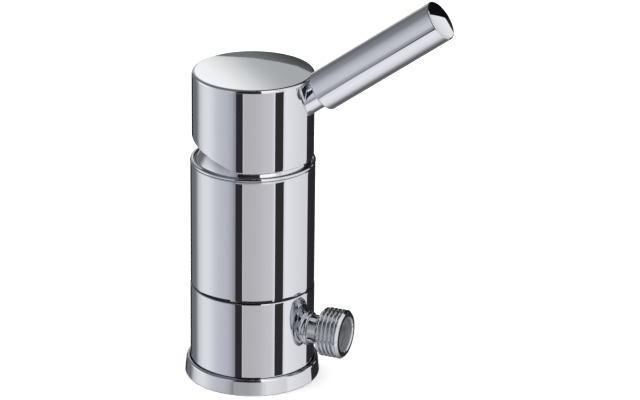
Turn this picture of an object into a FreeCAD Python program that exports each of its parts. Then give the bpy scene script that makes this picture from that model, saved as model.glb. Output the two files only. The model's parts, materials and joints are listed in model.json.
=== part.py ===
import FreeCAD, Part
import math
import os

from FreeCAD import Placement, Rotation, Vector

# Single-lever mixer tap with a hose outlet, in millimetres. The origin is the centre of the underside, on the
# deck. +Z is the tap's own axis, and +X is the way the hose outlet points. Plain cylinders at the nominal
# radius stand for the screw threads.

# Fits
cartridge_clearance = 0.10      # cartridge in the bore of the column
thread_clearance = 0.05         # between screwed pieces
sleeve_clearance = 0.20         # sleeve over the column and the skirt of the trim ring
seat_clearance = 0.05           # pieces dropped into a recess
running_clearance = 0.06        # turning and tilting fits
sliding_clearance = 0.20        # disc carrier in the groove of the rotor
seal_clearance = 0.03           # rubber rings in their grooves
disc_clearance = 0.20           # fixed disc in the housing
flange_clearance = 0.30         # turning flange, glide ring and stop lug in the housing
ball_clearance = 0.18           # ball of the stem in its socket
overcut = 1.0                   # how far a cutter reaches past what it cuts

# Cartridge
cartridge_radius = 19.95
base_flange_thickness = 2.5
base_plug_height = 3.5
fixed_disc_thickness = 4.0
moving_disc_thickness = 4.0
moving_disc_setback = 3.6       # inside the bore of the housing
carrier_plate_thickness = 2.2
carrier_block_width = 14.0
carrier_block_setback = 3.5     # end of the block inside the edge of the disc
carrier_block_height = 3.1
housing_wall = 2.35
housing_shoulder = 26.0         # seat to the shoulder under the nut
housing_web = 3.0
housing_shoulder_width = 3.55
housing_neck_height = 7.5
housing_neck_wall = 3.84
rotor_neck_relief = 0.3         # top of the rotor above the neck of the housing
glide_ring_thickness = 0.5
carrier_headroom = 0.3          # above the carrier's plate and block
pivot_rise = 29.0               # seat to the tilting axis
port_bore = 3.7
port_setback = 6.4              # centre of a port inside the bore of the housing
inlet_port_angle = 57.7         # each side of +X
port_slot_half_angle = 10.0
port_slot_bore = 3.0
seal_lip = 1.5
port_seal_height = 1.0
disc_seal_height = 0.8
chamber_rim = 2.4
chamber_depth = 2.2
chamber_front = 0.5             # front edge of the mixing chamber, ahead of the axis with the tap shut
disc_setback = 2.0              # how far the moving disc stands back with the tap shut
peg_radius = 1.5
peg_length = 3.0
peg_setback = 5.95              # inside the outline of the cartridge
carrier_peg_length = 1.4
carrier_peg_setback = 5.0       # inside the edge of the moving disc
stop_lug_rise = 1.4
stop_lug_half_angle = 8.0
stop_lug_height = 3.6
stop_play_angle = 1.0

# Stem, pin and nut
stem_width = 7.0
stem_ball_radius = 3.0
stem_ball_lift = 0.6            # underside of the ball above the moving disc
stem_waist_radius = 2.2
stem_shoulder_drop = 6.5        # square part of the stem below the tilting axis
stem_chamfer = 0.7
pin_radius = 1.5
pin_setback = 1.5               # end of the pin inside the neck of the rotor
nut_height = 8.0
nut_slot_width = 4.0
nut_slot_depth = 2.5
nut_slots = 6
nut_thread_depth = 0.95

# Column and passages of the valve body
neck_wall = 1.9                 # between the nut's thread and the thread of the trim ring
neck_thread_length = 6.0
column_drop = 3.7               # top of the sleeve to the top of the column
inlet_bore = 3.6
inlet_socket_radius = 4.5       # tapped M10 x 1
inlet_socket_depth = 14.0
stud_hole_radius = 3.4          # tapped M8
stud_hole_depth = 12.0
stud_hole_offset = 13.0
socket_chamfer = 0.6

# Visible body
lower_body_height = 41.2
body_step = 0.13                # lower body proud of the sleeve
body_edge_chamfer = 0.6
spigot_height = 2.0
spigot_setback = 4.3
sleeve_wall = 1.81
sleeve_length = 54.1
sleeve_edge_chamfer = 0.3
sleeve_ring_thickness = 0.4
sleeve_ring_setback = 0.6
o_ring_section = 2.0            # pressed to a square section
o_ring_groove_width = 2.4
lower_o_ring_rise = 5.0         # above the lower body
upper_o_ring_drop = 16.0        # below the top of the sleeve

# Base ring
base_ring_lip = 2.29            # beyond the lower body
base_ring_height = 7.1
base_ring_rounding = 1.6
gasket_width = 3.0
gasket_thickness = 1.2
gasket_setback = 1.6

# Hose outlet
outlet_height = 23.7
outlet_reach = 43.4             # tap's axis to the end face
outlet_thread_radius = 10.4775  # G 1/2
outlet_thread_length = 10.0
outlet_bevel = 1.1
outlet_mouth_radius = 7.8
outlet_mouth_depth = 7.4
outlet_neck_radius = 6.2
outlet_collar_radius = 7.2
outlet_collar_length = 3.1
outlet_bore = 3.9
outlet_stub_radius = 6.0        # M12
outlet_stub_length = 10.0
outlet_o_ring_section = 1.1
outlet_o_ring_setback = 2.4
spot_face_margin = 0.2

# Trim ring and dome cover
trim_step = 0.15                # bead proud of the sleeve
trim_skirt_wall = 1.35
trim_bead_height = 1.25
trim_groove = 0.25
trim_edge_chamfer = 0.25
trim_groove_setback = 0.6
trim_bead_width = 2.41
trim_rounding = 0.6
trim_ledge_drop = 0.7           # below the top of the sleeve
trim_ledge_thickness = 1.5
trim_ledge_width = 2.05
dome_wall = 1.5
dome_foot_height = 1.64
dome_opening_radius = 17.0

# Lever cap
cap_step = 0.65                 # cap inside the outline of the sleeve
cap_gap = 2.1                   # trim ring to the skirt of the cap
cap_height = 36.4
cap_crown = 0.3
cap_wall = 1.6
cap_top_thickness = 3.0
cap_edge_rounding = 0.4
relief_angle = 18.0             # oblique cut at the back of the skirt
relief_start = 2.0              # ahead of the axis
boss_radius = 8.0
boss_foot_rise = 5.2            # above the skirt
socket_depth = 10.7

# Lever
lever_swivel = 4.3              # rest position, from the outlet towards +Y
lever_rise = 36.15
lever_cross_rise = 8.8          # where the lever's line meets the axis, above the skirt
neck_radius = 6.1
neck_root_rounding = 0.4
grip_start = 37.5
grip_length = 62.5
grip_radius = 8.63
grip_edge_chamfer = 0.4
stud_radius = 4.0               # M8
stud_length = 28.0
stud_grip_hole_depth = 16.0
screw_radius = 3.0              # M6
screw_length = 8.0
screw_point_radius = 1.0
screw_socket_radius = 1.6
screw_socket_depth = 3.5

# Travel of the joints
temperature_half_range = 50.0
tilt_range = 20.0

# Heights and radii that follow
sleeve_foot = lower_body_height + sleeve_ring_thickness
sleeve_top = sleeve_foot + sleeve_length
column_top = sleeve_top - column_drop
shoulder_height = column_top - nut_height
seat = shoulder_height - housing_shoulder
pivot_height = seat + pivot_rise
cartridge_bore = cartridge_radius + cartridge_clearance
nut_radius = cartridge_bore + nut_thread_depth
neck_thread_radius = nut_radius + neck_wall
trim_skirt_radius = neck_thread_radius + thread_clearance + trim_skirt_wall
sleeve_bore = trim_skirt_radius + sleeve_clearance
sleeve_radius = sleeve_bore + sleeve_wall
column_radius = sleeve_bore - sleeve_clearance
body_radius = sleeve_radius + body_step
spigot_radius = body_radius - spigot_setback
base_ring_radius = body_radius + base_ring_lip
trim_radius = sleeve_radius + trim_step
trim_foot = sleeve_top + trim_groove
trim_top = trim_foot + trim_bead_height
trim_bore = trim_radius - trim_bead_width
ledge_height = sleeve_top - trim_ledge_drop
dome_foot_radius = trim_bore - seat_clearance
dome_shoulder = ledge_height + dome_foot_height
dome_radius = math.hypot(dome_foot_radius, dome_shoulder - pivot_height)
cap_radius = sleeve_radius - cap_step
cap_foot = trim_top + cap_gap
cap_top = cap_foot + cap_height
lever_cross = cap_foot + lever_cross_rise
boss_foot = cap_foot + boss_foot_rise
stem_top = boss_foot + socket_depth - seat_clearance

housing_bore = cartridge_radius - housing_wall
housing_neck_radius = cartridge_radius - housing_shoulder_width
rotor_neck_radius = housing_neck_radius - housing_neck_wall - running_clearance
port_radius = housing_bore - port_setback
peg_circle = cartridge_radius - peg_setback
moving_disc_radius = housing_bore - moving_disc_setback
carrier_peg_circle = moving_disc_radius - carrier_peg_setback
pin_length = 2 * (rotor_neck_radius - pin_setback)
base_plug_top = seat + base_flange_thickness + base_plug_height
disc_plane = base_plug_top + fixed_disc_thickness
moving_disc_top = disc_plane + moving_disc_thickness
carrier_plate_top = moving_disc_top + carrier_plate_thickness
carrier_top = carrier_plate_top + carrier_block_height
rotor_foot = carrier_plate_top + carrier_headroom
rotor_ceiling = shoulder_height - housing_web
rotor_flange_top = rotor_ceiling - glide_ring_thickness
rotor_flange_radius = housing_bore - flange_clearance
rotor_top = shoulder_height + housing_neck_height + rotor_neck_relief
ball_height = moving_disc_top + stem_ball_lift + stem_ball_radius
disc_travel = (pivot_height - ball_height) * math.sin(math.radians(tilt_range))
inlet_ports = [
    Vector(port_radius * math.cos(math.radians(side * inlet_port_angle)),
           port_radius * math.sin(math.radians(side * inlet_port_angle)), 0)
    for side in (-1, 1)
]
outlet_port = Vector(-port_radius, 0, 0)
ports = inlet_ports + [outlet_port]

Z = Vector(0, 0, 1)


def turned(*path):
    """A solid turned about Z. A corner is (r, z); a pair of corners is an arc through the first to the second."""
    start = Vector(path[0][0], 0, path[0][1])
    here, edges = start, []
    for step in path[1:]:
        if isinstance(step[0], tuple):
            middle = Vector(step[0][0], 0, step[0][1])
            there = Vector(step[1][0], 0, step[1][1])
            edges.append(Part.Arc(here, middle, there).toShape())
        else:
            there = Vector(step[0], 0, step[1])
            edges.append(Part.makeLine(here, there))
        here = there
    edges.append(Part.makeLine(here, start))
    return Part.Face(Part.Wire(edges)).revolve(Vector(0, 0, 0), Z, 360)


def tube(outer, inner, foot, top):
    """A plain ring between two heights."""
    return turned((inner, foot), (outer, foot), (outer, top), (inner, top))


def rod(radius, foot, top, at=Vector(0, 0, 0)):
    """A plain upright cylinder between two heights."""
    return Part.makeCylinder(radius, top - foot, at + Z * foot)


def block(length, width, foot, top, front=None):
    """An upright block centred across, and along X unless its front is given."""
    back = -length / 2 if front is None else front - length
    return Part.makeBox(length, width, top - foot, Vector(back, -width / 2, foot))


def pressed_ring(outer, section, height):
    """A rubber ring about Z, pressed square in its groove, around a height."""
    half = section / 2 - seal_clearance
    return tube(outer - seal_clearance, outer - 2 * half, height - half, height + half)


def cut_all(shape, cutters):
    """A shape with every cutter taken away."""
    for cutter in cutters:
        shape = shape.cut(cutter)
    return shape


def fuse_all(shapes):
    """One shape of several that meet, without the seams between them."""
    return shapes[0].multiFuse(shapes[1:]).removeSplitter()


def circles(shape, rims):
    """The circular edges about Z that have one of the given (radius, height) pairs."""
    found = []
    for edge in shape.Edges:
        if edge.Degenerated or not isinstance(edge.Curve, Part.Circle):
            continue
        size, centre = edge.Curve.Radius, edge.Curve.Center
        if any(abs(size - r) < 1e-4 and abs(centre.z - z) < 1e-4 and math.hypot(centre.x, centre.y) < 1e-4
               for r, z in rims):
            found.append(edge)
    return found


def rounded(shape, size, *rims):
    """A turned shape with the named rims rounded."""
    return shape.makeFillet(size, circles(shape, rims))


def bevelled(shape, size, *rims):
    """A turned shape with the named rims chamfered."""
    return shape.makeChamfer(size, circles(shape, rims))


def facing_x(shape, height):
    """A shape built along Z, laid along +X at a height above the deck."""
    shape.Placement = Placement(Z * height, Rotation(Vector(0, 1, 0), 90)).multiply(shape.Placement)
    return shape


def along_lever(shape):
    """A shape built along Z, laid on the line of the lever, which still lies above +X."""
    lean = Rotation(Vector(0, 1, 0), 90 - lever_rise)
    shape.Placement = Placement(Z * lever_cross, lean).multiply(shape.Placement)
    return shape


def swung(shape):
    """A shape built with the lever above +X, swung to where the lever rests."""
    shape.rotate(Vector(0, 0, 0), Z, lever_swivel)
    return shape


def mouth(radius, at):
    """The conical cutter that opens a socket in the underside."""
    return Part.makeCone(radius + socket_chamfer, radius, socket_chamfer, at)


def valve_body():
    """The casting: lower body with its passages, and the column that holds the cartridge."""
    neck_foot = column_top - neck_thread_length
    shell = turned(
        (0, 0), (spigot_radius, 0), (spigot_radius, spigot_height), (body_radius, spigot_height),
        (body_radius, lower_body_height), (column_radius, lower_body_height), (column_radius, neck_foot),
        (neck_thread_radius, neck_foot), (neck_thread_radius, column_top),
        (nut_radius + thread_clearance, column_top), (nut_radius + thread_clearance, shoulder_height),
        (cartridge_bore, shoulder_height), (cartridge_bore, seat), (0, seat))
    shell = bevelled(shell, body_edge_chamfer, (body_radius, lower_body_height))
    grooves = [
        tube(column_radius + overcut, sleeve_bore - o_ring_section, height - o_ring_groove_width / 2,
             height + o_ring_groove_width / 2)
        for height in sleeve_o_ring_heights()
    ]
    inlets = [rod(inlet_bore, 0, seat, port) for port in inlet_ports]
    inlets += [rod(inlet_socket_radius, 0, inlet_socket_depth, port) for port in inlet_ports]
    inlets += [mouth(inlet_socket_radius, port) for port in inlet_ports]
    stud_at = Vector(-stud_hole_offset, 0, 0)
    stud = [rod(stud_hole_radius, 0, stud_hole_depth, stud_at), mouth(stud_hole_radius, stud_at)]
    face = spot_face()
    passage = [
        rod(outlet_bore, outlet_height - outlet_bore, seat, outlet_port),
        facing_x(rod(outlet_bore, -port_radius, face - outlet_stub_length), outlet_height),
        facing_x(rod(outlet_stub_radius + thread_clearance, face - outlet_stub_length, face), outlet_height),
        facing_x(rod(outlet_collar_radius + spot_face_margin, face, body_radius + overcut), outlet_height),
    ]
    pegs = [rod(peg_radius + seat_clearance, seat - peg_length, seat, place) for place in peg_places()]
    return cut_all(shell, grooves + inlets + stud + passage + pegs)


def spot_face():
    """How far out the flat seat of the outlet's collar lies."""
    return math.sqrt(body_radius ** 2 - (outlet_collar_radius + spot_face_margin) ** 2)


def sleeve_o_ring_heights():
    """The two O-rings of the sleeve."""
    return lower_body_height + lower_o_ring_rise, sleeve_top - upper_o_ring_drop


def peg_places():
    """The two locating pegs of the cartridge, square to the outlet."""
    return [Vector(0, side * peg_circle, 0) for side in (-1, 1)]


def base_ring():
    """The round flange, trapped under the foot of the lower body, with a groove for the gasket."""
    ring = turned(
        (spigot_radius + seat_clearance, 0), (base_ring_radius, 0), (base_ring_radius, base_ring_height),
        (body_radius + seat_clearance, base_ring_height), (body_radius + seat_clearance, spigot_height),
        (spigot_radius + seat_clearance, spigot_height))
    ring = rounded(ring, base_ring_rounding, (base_ring_radius, base_ring_height))
    outer = base_ring_radius - gasket_setback
    return ring.cut(tube(outer, outer - gasket_width, 0, gasket_thickness))


def base_gasket():
    """The flat rubber ring in the groove of the base ring, pressed level with the deck."""
    outer = base_ring_radius - gasket_setback - seal_clearance
    inner = outer - gasket_width + 2 * seal_clearance
    return tube(outer, inner, 0, gasket_thickness)


def sleeve_ring():
    """The thin ring that the sleeve stands on, which shows as the dark seam."""
    return tube(sleeve_radius - sleeve_ring_setback, column_radius + seat_clearance, lower_body_height, sleeve_foot)


def body_sleeve():
    """The tall tube over the column."""
    sleeve = tube(sleeve_radius, sleeve_bore, sleeve_foot, sleeve_top)
    return bevelled(sleeve, sleeve_edge_chamfer, (sleeve_radius, sleeve_foot), (sleeve_radius, sleeve_top))


def sleeve_o_rings():
    """Two rubber rings between column and sleeve."""
    return Part.Compound([pressed_ring(sleeve_bore, o_ring_section, height) for height in sleeve_o_ring_heights()])


def hose_outlet():
    """The nipple: a stub in the body, a collar on its seat, a slim neck, and the threaded end with a wide mouth."""
    face = spot_face()
    collar_end = face + outlet_collar_length
    thread_start = outlet_reach - outlet_thread_length
    mouth_floor = outlet_reach - outlet_mouth_depth
    groove_end = face - outlet_o_ring_setback
    groove_start = groove_end - outlet_o_ring_section
    groove_floor = outlet_stub_radius - outlet_o_ring_section
    nipple = turned(
        (outlet_bore, face - outlet_stub_length), (outlet_stub_radius, face - outlet_stub_length),
        (outlet_stub_radius, groove_start), (groove_floor, groove_start), (groove_floor, groove_end),
        (outlet_stub_radius, groove_end), (outlet_stub_radius, face), (outlet_collar_radius, face),
        (outlet_collar_radius, collar_end), (outlet_neck_radius, collar_end), (outlet_neck_radius, thread_start),
        (outlet_thread_radius, thread_start), (outlet_thread_radius, outlet_reach),
        (outlet_mouth_radius, outlet_reach), (outlet_mouth_radius, mouth_floor), (outlet_bore, mouth_floor))
    nipple = bevelled(nipple, outlet_bevel, (outlet_thread_radius, outlet_reach),
                      (outlet_thread_radius, thread_start))
    return facing_x(nipple, outlet_height)


def outlet_o_ring():
    """The rubber ring on the stub of the outlet."""
    height = spot_face() - outlet_o_ring_setback - outlet_o_ring_section / 2
    return facing_x(pressed_ring(outlet_stub_radius, outlet_o_ring_section, height), outlet_height)


def trim_ring():
    """The rounded bead, screwed on the neck of the column, which holds the sleeve down and carries the dome."""
    skirt_bore = neck_thread_radius + thread_clearance
    groove_radius = sleeve_radius - trim_groove_setback
    ledge_bore = trim_bore - trim_ledge_width
    ledge_foot = ledge_height - trim_ledge_thickness
    ring = turned(
        (skirt_bore, column_top - neck_thread_length), (trim_skirt_radius, column_top - neck_thread_length),
        (trim_skirt_radius, sleeve_top), (groove_radius, sleeve_top), (groove_radius, trim_foot),
        (trim_radius, trim_foot), (trim_radius, trim_top), (trim_bore, trim_top), (trim_bore, ledge_height),
        (ledge_bore, ledge_height), (ledge_bore, ledge_foot), (skirt_bore, ledge_foot))
    ring = rounded(ring, trim_rounding, (trim_radius, trim_top))
    return bevelled(ring, trim_edge_chamfer, (trim_radius, trim_foot), (trim_bore, trim_top))


def dome_cover():
    """The domed cover, struck from the tilting axis so that the cap's skirt keeps its distance."""
    centre = Z * pivot_height
    shell = Part.makeSphere(dome_radius, centre).cut(Part.makeSphere(dome_radius - dome_wall, centre))
    shell = shell.common(rod(dome_foot_radius, ledge_height, pivot_height + dome_radius + overcut))
    return shell.cut(rod(dome_opening_radius, pivot_height, pivot_height + dome_radius + overcut))


def cartridge_base():
    """The foot of the cartridge: a flange with three ports, seal pockets on both faces, and two pegs."""
    flange_top = seat + base_flange_thickness
    foot = turned((0, seat), (cartridge_radius, seat), (cartridge_radius, flange_top),
                  (housing_bore - seat_clearance, flange_top), (housing_bore - seat_clearance, base_plug_top),
                  (0, base_plug_top))
    pegs = [rod(peg_radius, seat - peg_length + seat_clearance, seat, place) for place in peg_places()]
    foot = fuse_all([foot] + pegs)
    pocket = port_bore + seal_lip
    cutters = [rod(port_bore, seat, base_plug_top, port) for port in ports]
    cutters += [rod(pocket, seat, seat + port_seal_height, port) for port in ports]
    cutters += [rod(pocket, base_plug_top - disc_seal_height, base_plug_top, port) for port in ports]
    return cut_all(foot, cutters)


def seals(foot, height):
    """Three rubber rings around the ports."""
    outer = port_bore + seal_lip - seal_clearance
    shapes = []
    for port in ports:
        ring = tube(outer, port_bore, foot, foot + height)
        ring.translate(port)
        shapes.append(ring)
    return Part.Compound(shapes)


def port_slot(angle):
    """The cutter of a curved port in the fixed disc, round at both ends."""
    foot, top = base_plug_top, disc_plane
    sweep = 2 * port_slot_half_angle
    sector = Part.makeCylinder(port_radius + port_slot_bore, top - foot, Z * foot, Z, sweep).cut(
        rod(port_radius - port_slot_bore, foot, top))
    sector.rotate(Vector(0, 0, 0), Z, angle - port_slot_half_angle)
    ends = []
    for turn in (angle - port_slot_half_angle, angle + port_slot_half_angle):
        place = Rotation(Z, turn).multVec(Vector(port_radius, 0, 0))
        ends.append(rod(port_slot_bore, foot, top, place))
    return fuse_all([sector] + ends)


def fixed_disc():
    """The ceramic disc that stays put, with two inlet ports and the outlet port."""
    radius = housing_bore - disc_clearance
    disc = rod(radius, base_plug_top, disc_plane)
    return cut_all(disc, [port_slot(angle) for angle in (-inlet_port_angle, inlet_port_angle, 180)])


def moving_disc():
    """The ceramic disc that slides and turns, with the mixing chamber in its underside."""
    centre = Vector(-disc_setback, 0, 0)
    disc = rod(moving_disc_radius, disc_plane, moving_disc_top, centre)
    radius = moving_disc_radius - chamber_rim
    chamber = rod(radius, disc_plane, disc_plane + chamber_depth, centre)
    chamber = chamber.common(block(4 * radius, 2 * radius, disc_plane, disc_plane + chamber_depth,
                                   front=chamber_front))
    sockets = [rod(peg_radius + seat_clearance, moving_disc_top - carrier_peg_length - seat_clearance,
                   moving_disc_top, place) for place in carrier_peg_places()]
    return swung(cut_all(disc, [chamber] + sockets))


def carrier_peg_places():
    """The two pegs that tie the carrier to the moving disc."""
    return [Vector(-disc_setback, side * carrier_peg_circle, 0) for side in (-1, 1)]


def disc_carrier():
    """The slider on the moving disc, with the socket for the stem's ball."""
    centre = Vector(-disc_setback, 0, 0)
    plate = rod(moving_disc_radius, moving_disc_top, carrier_plate_top, centre)
    slider = block(2 * (moving_disc_radius - carrier_block_setback), carrier_block_width, moving_disc_top,
                   carrier_top)
    pegs = [rod(peg_radius, moving_disc_top - carrier_peg_length, moving_disc_top, place)
            for place in carrier_peg_places()]
    carrier = fuse_all([plate, slider] + pegs)
    return swung(carrier.cut(rod(stem_ball_radius + ball_clearance, moving_disc_top, carrier_top)))


def stem_slot_reach(drop):
    """How far the stem reaches from the axis at full tilt, at a depth below or above the tilting axis."""
    lean = math.radians(tilt_range)
    return drop * math.tan(lean) + stem_width / 2 / math.cos(lean) + carrier_headroom


def cartridge_rotor():
    """The turning guide: a flange that steers the carrier, a neck in the housing, and the slot of the stem."""
    groove_top = carrier_top + carrier_headroom
    body = turned((0, rotor_foot), (rotor_flange_radius, rotor_foot), (rotor_flange_radius, rotor_flange_top),
                  (rotor_neck_radius, rotor_flange_top), (rotor_neck_radius, rotor_top), (0, rotor_top))
    lug = Part.makeCylinder(rotor_flange_radius + stop_lug_rise, stop_lug_height, Z * rotor_foot, Z,
                            2 * stop_lug_half_angle)
    lug.rotate(Vector(0, 0, 0), Z, 180 - stop_lug_half_angle)
    body = fuse_all([body, lug])
    groove = block(2 * (rotor_flange_radius + stop_lug_rise), carrier_block_width + 2 * sliding_clearance,
                   rotor_foot, groove_top)
    front = stem_slot_reach(pivot_height - groove_top)
    back = stem_slot_reach(rotor_top - pivot_height)
    slot = block(front + back, stem_width + 2 * running_clearance, rotor_foot, rotor_top, front=front)
    body = cut_all(body, [groove, slot, cross_hole(pin_radius + seat_clearance / 2)])
    return swung(body)


def cross_hole(radius):
    """The cutter of the pin's hole, across the line of the lever."""
    return Part.makeCylinder(radius, pin_length, Vector(0, -pin_length / 2, pivot_height), Vector(0, 1, 0))


def pivot_pin():
    """The steel pin that the stem tilts on."""
    return swung(cross_hole(pin_radius))


def cartridge_stem():
    """The stem: a ball end in the carrier, a waist, and a square shank on the pin, up into the cap."""
    shoulder = pivot_height - stem_shoulder_drop
    ball = Part.makeSphere(stem_ball_radius, Z * ball_height)
    collar = carrier_top + 2 * carrier_headroom
    waist = fuse_all([rod(stem_waist_radius, ball_height, collar),
                      Part.makeCone(stem_waist_radius, stem_width / 2, shoulder - collar, Z * collar)])
    shank = block(stem_width, stem_width, shoulder, stem_top)
    rims = [edge for edge in shank.Edges if edge.BoundBox.ZMin > stem_top - 1e-6]
    stem = fuse_all([ball, waist, shank.makeChamfer(stem_chamfer, rims)])
    return swung(stem.cut(cross_hole(pin_radius + running_clearance)))


def glide_ring():
    """The thin washer between the rotor's flange and the housing."""
    return tube(rotor_flange_radius, rotor_neck_radius + flange_clearance, rotor_flange_top, rotor_ceiling)


def cartridge_housing():
    """The shell of the cartridge, with the recess that stops the rotor at hot and at cold."""
    foot = seat + base_flange_thickness
    neck_top = shoulder_height + housing_neck_height
    shell = turned(
        (housing_bore, foot), (cartridge_radius, foot), (cartridge_radius, shoulder_height),
        (housing_neck_radius, shoulder_height), (housing_neck_radius, neck_top),
        (rotor_neck_radius + running_clearance, neck_top), (rotor_neck_radius + running_clearance, rotor_ceiling),
        (housing_bore, rotor_ceiling))
    half = temperature_half_range + stop_lug_half_angle + stop_play_angle
    recess = Part.makeCylinder(rotor_flange_radius + stop_lug_rise + flange_clearance,
                               stop_lug_height + 2 * carrier_headroom,
                               Z * (rotor_foot - carrier_headroom), Z, 2 * half)
    recess.rotate(Vector(0, 0, 0), Z, 180 - half)
    return shell.cut(recess)


def retaining_nut():
    """The threaded ring on the shoulder of the cartridge, with slots for a peg spanner."""
    top = shoulder_height + nut_height
    nut = tube(nut_radius, housing_neck_radius + sliding_clearance, shoulder_height, top)
    slot_floor = (housing_neck_radius + nut_radius) / 2
    slots = []
    for place in range(nut_slots):
        slot = block(nut_radius, nut_slot_width, top - nut_slot_depth, top, front=slot_floor + nut_radius)
        slot.rotate(Vector(0, 0, 0), Z, place * 360 / nut_slots)
        slots.append(slot)
    return cut_all(nut, slots)


def lever_cap():
    """The cap with its neck: a crowned cylinder, cut obliquely at the back, with the boss for stem and screw."""
    rim = cap_top - cap_crown
    shell = turned((0, cap_foot), (cap_radius, cap_foot), (cap_radius, rim),
                   ((cap_radius / 2, cap_top - cap_crown / 4), (0, cap_top)))
    shell = rounded(shell, cap_edge_rounding, (cap_radius, rim))
    neck = along_lever(rod(neck_radius, cap_radius / 2, grip_start))
    shell = fuse_all([shell, neck])
    shell = shell.makeFillet(neck_root_rounding, root_edges(shell))

    ceiling = cap_top - cap_top_thickness
    hollow = rod(cap_radius - cap_wall, cap_foot, ceiling)
    boss = rod(boss_radius, boss_foot, ceiling)
    arm = along_lever(rod(neck_radius, 0, grip_start)).common(rod(cap_radius - cap_wall / 2, boss_foot, ceiling))
    hollow = cut_all(hollow, [boss, arm])
    socket = block(stem_width + 2 * seat_clearance, stem_width + 2 * seat_clearance, boss_foot,
                   boss_foot + socket_depth)
    stud_floor = grip_start - stud_length / 2 - seat_clearance
    bores = [along_lever(rod(screw_radius + thread_clearance, 0, grip_start)),
             along_lever(rod(stud_radius + thread_clearance, stud_floor, grip_start))]
    return swung(cut_all(shell, [hollow, socket, relief_wedge()] + bores))


def root_edges(shell):
    """The edges where the neck leaves the cap."""
    def radius_of(face):
        return face.Surface.Radius if isinstance(face.Surface, Part.Cylinder) else 0
    wanted = sorted([neck_radius, cap_radius])
    found = []
    for edge in shell.Edges:
        radii = sorted(radius_of(face) for face in shell.ancestorsOfType(edge, Part.Face))
        if len(radii) == 2 and all(abs(a - b) < 1e-6 for a, b in zip(radii, wanted)):
            found.append(edge)
    return found


def relief_wedge():
    """The cutter of the oblique relief at the back of the skirt, which makes room for the tilt."""
    side = cap_radius + overcut
    slope = math.tan(math.radians(relief_angle))
    reach = side + relief_start
    corners = [
        Vector(relief_start + overcut / slope, -side, cap_foot - overcut),
        Vector(-side, -side, cap_foot + reach * slope),
        Vector(-side, -side, cap_foot - overcut),
    ]
    return Part.Face(Part.makePolygon(corners + corners[:1])).extrude(Vector(0, 2 * side, 0))


def stem_screw():
    """The set screw in the cap, whose point bears on the flat of the stem, with a hexagon socket."""
    lean = math.radians(lever_rise)
    point = (stem_width / 2 + screw_point_radius * math.sin(lean)) / math.cos(lean) + seat_clearance
    cone = screw_radius - screw_point_radius
    end = point + screw_length
    screw = turned((0, point), (screw_point_radius, point), (screw_radius, point + cone), (screw_radius, end),
                   (0, end))
    corners = [Rotation(Z, turn).multVec(Vector(screw_socket_radius, 0, 0)) + Z * end for turn in range(0, 420, 60)]
    socket = Part.Face(Part.makePolygon(corners)).extrude(Z * -screw_socket_depth)
    return swung(along_lever(screw.cut(socket)))


def lever_stud():
    """The threaded stud between the neck and the grip."""
    half = stud_length / 2
    return swung(along_lever(rod(stud_radius, grip_start - half, grip_start + half)))


def lever_grip():
    """The round rod, softly edged, with a blind tapped hole for the stud."""
    end = grip_start + grip_length
    grip = rod(grip_radius, grip_start, end)
    grip = bevelled(grip, grip_edge_chamfer, (grip_radius, grip_start), (grip_radius, end))
    grip = grip.cut(rod(stud_radius + thread_clearance, grip_start, grip_start + stud_grip_hole_depth))
    return swung(along_lever(grip))


PIECES = {
    "valve_body": valve_body,
    "base_ring": base_ring,
    "base_gasket": base_gasket,
    "sleeve_ring": sleeve_ring,
    "body_sleeve": body_sleeve,
    "sleeve_o_rings": sleeve_o_rings,
    "hose_outlet": hose_outlet,
    "outlet_o_ring": outlet_o_ring,
    "trim_ring": trim_ring,
    "dome_cover": dome_cover,
    "cartridge_base": cartridge_base,
    "port_seals": lambda: seals(seat, port_seal_height),
    "disc_seals": lambda: seals(base_plug_top - disc_seal_height, disc_seal_height),
    "fixed_disc": fixed_disc,
    "glide_ring": glide_ring,
    "cartridge_housing": cartridge_housing,
    "retaining_nut": retaining_nut,
    "cartridge_rotor": cartridge_rotor,
    "pivot_pin": pivot_pin,
    "moving_disc": moving_disc,
    "disc_carrier": disc_carrier,
    "cartridge_stem": cartridge_stem,
    "lever_cap": lever_cap,
    "stem_screw": stem_screw,
    "lever_stud": lever_stud,
    "lever_grip": lever_grip,
}

os.makedirs("parts", exist_ok=True)
for name, make in PIECES.items():
    shape = make()
    if not shape.isValid():
        raise ValueError(f"{name} isn't a valid solid")
    print(f"{name:18} {len(shape.Solids)} solid(s) {shape.Volume / 1000:8.3f} cm3")
    shape.exportStep(f"parts/{name}.step")

print(f"tilting axis {pivot_height:.3f}, lever crosses the axis at {lever_cross:.3f}, cap top {cap_top:.3f}")
print(f"disc travel {disc_travel:.4f} mm for {tilt_range} degrees of tilt")
print(f"inlet sockets at {[(round(p.x, 4), round(p.y, 4)) for p in inlet_ports]}")
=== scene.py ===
"""Looks of a single-lever mixer tap with a hose outlet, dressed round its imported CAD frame.

The meshes are in metres in the frame of the CAD part: +Z up the tap's own axis from the deck, +X along the
hose outlet. The fields of the tap's own classes are in millimetres and degrees. The plated pieces are
turned, cut and rounded here with the fine edges that polished plate shows. The pieces inside keep the
frame's meshes and get their finishes.
"""

import json
import logging
import math
from collections.abc import Callable
from dataclasses import dataclass, field
from enum import Enum
from functools import cache

import bmesh
import bpy
from mathutils import Matrix, Vector


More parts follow.
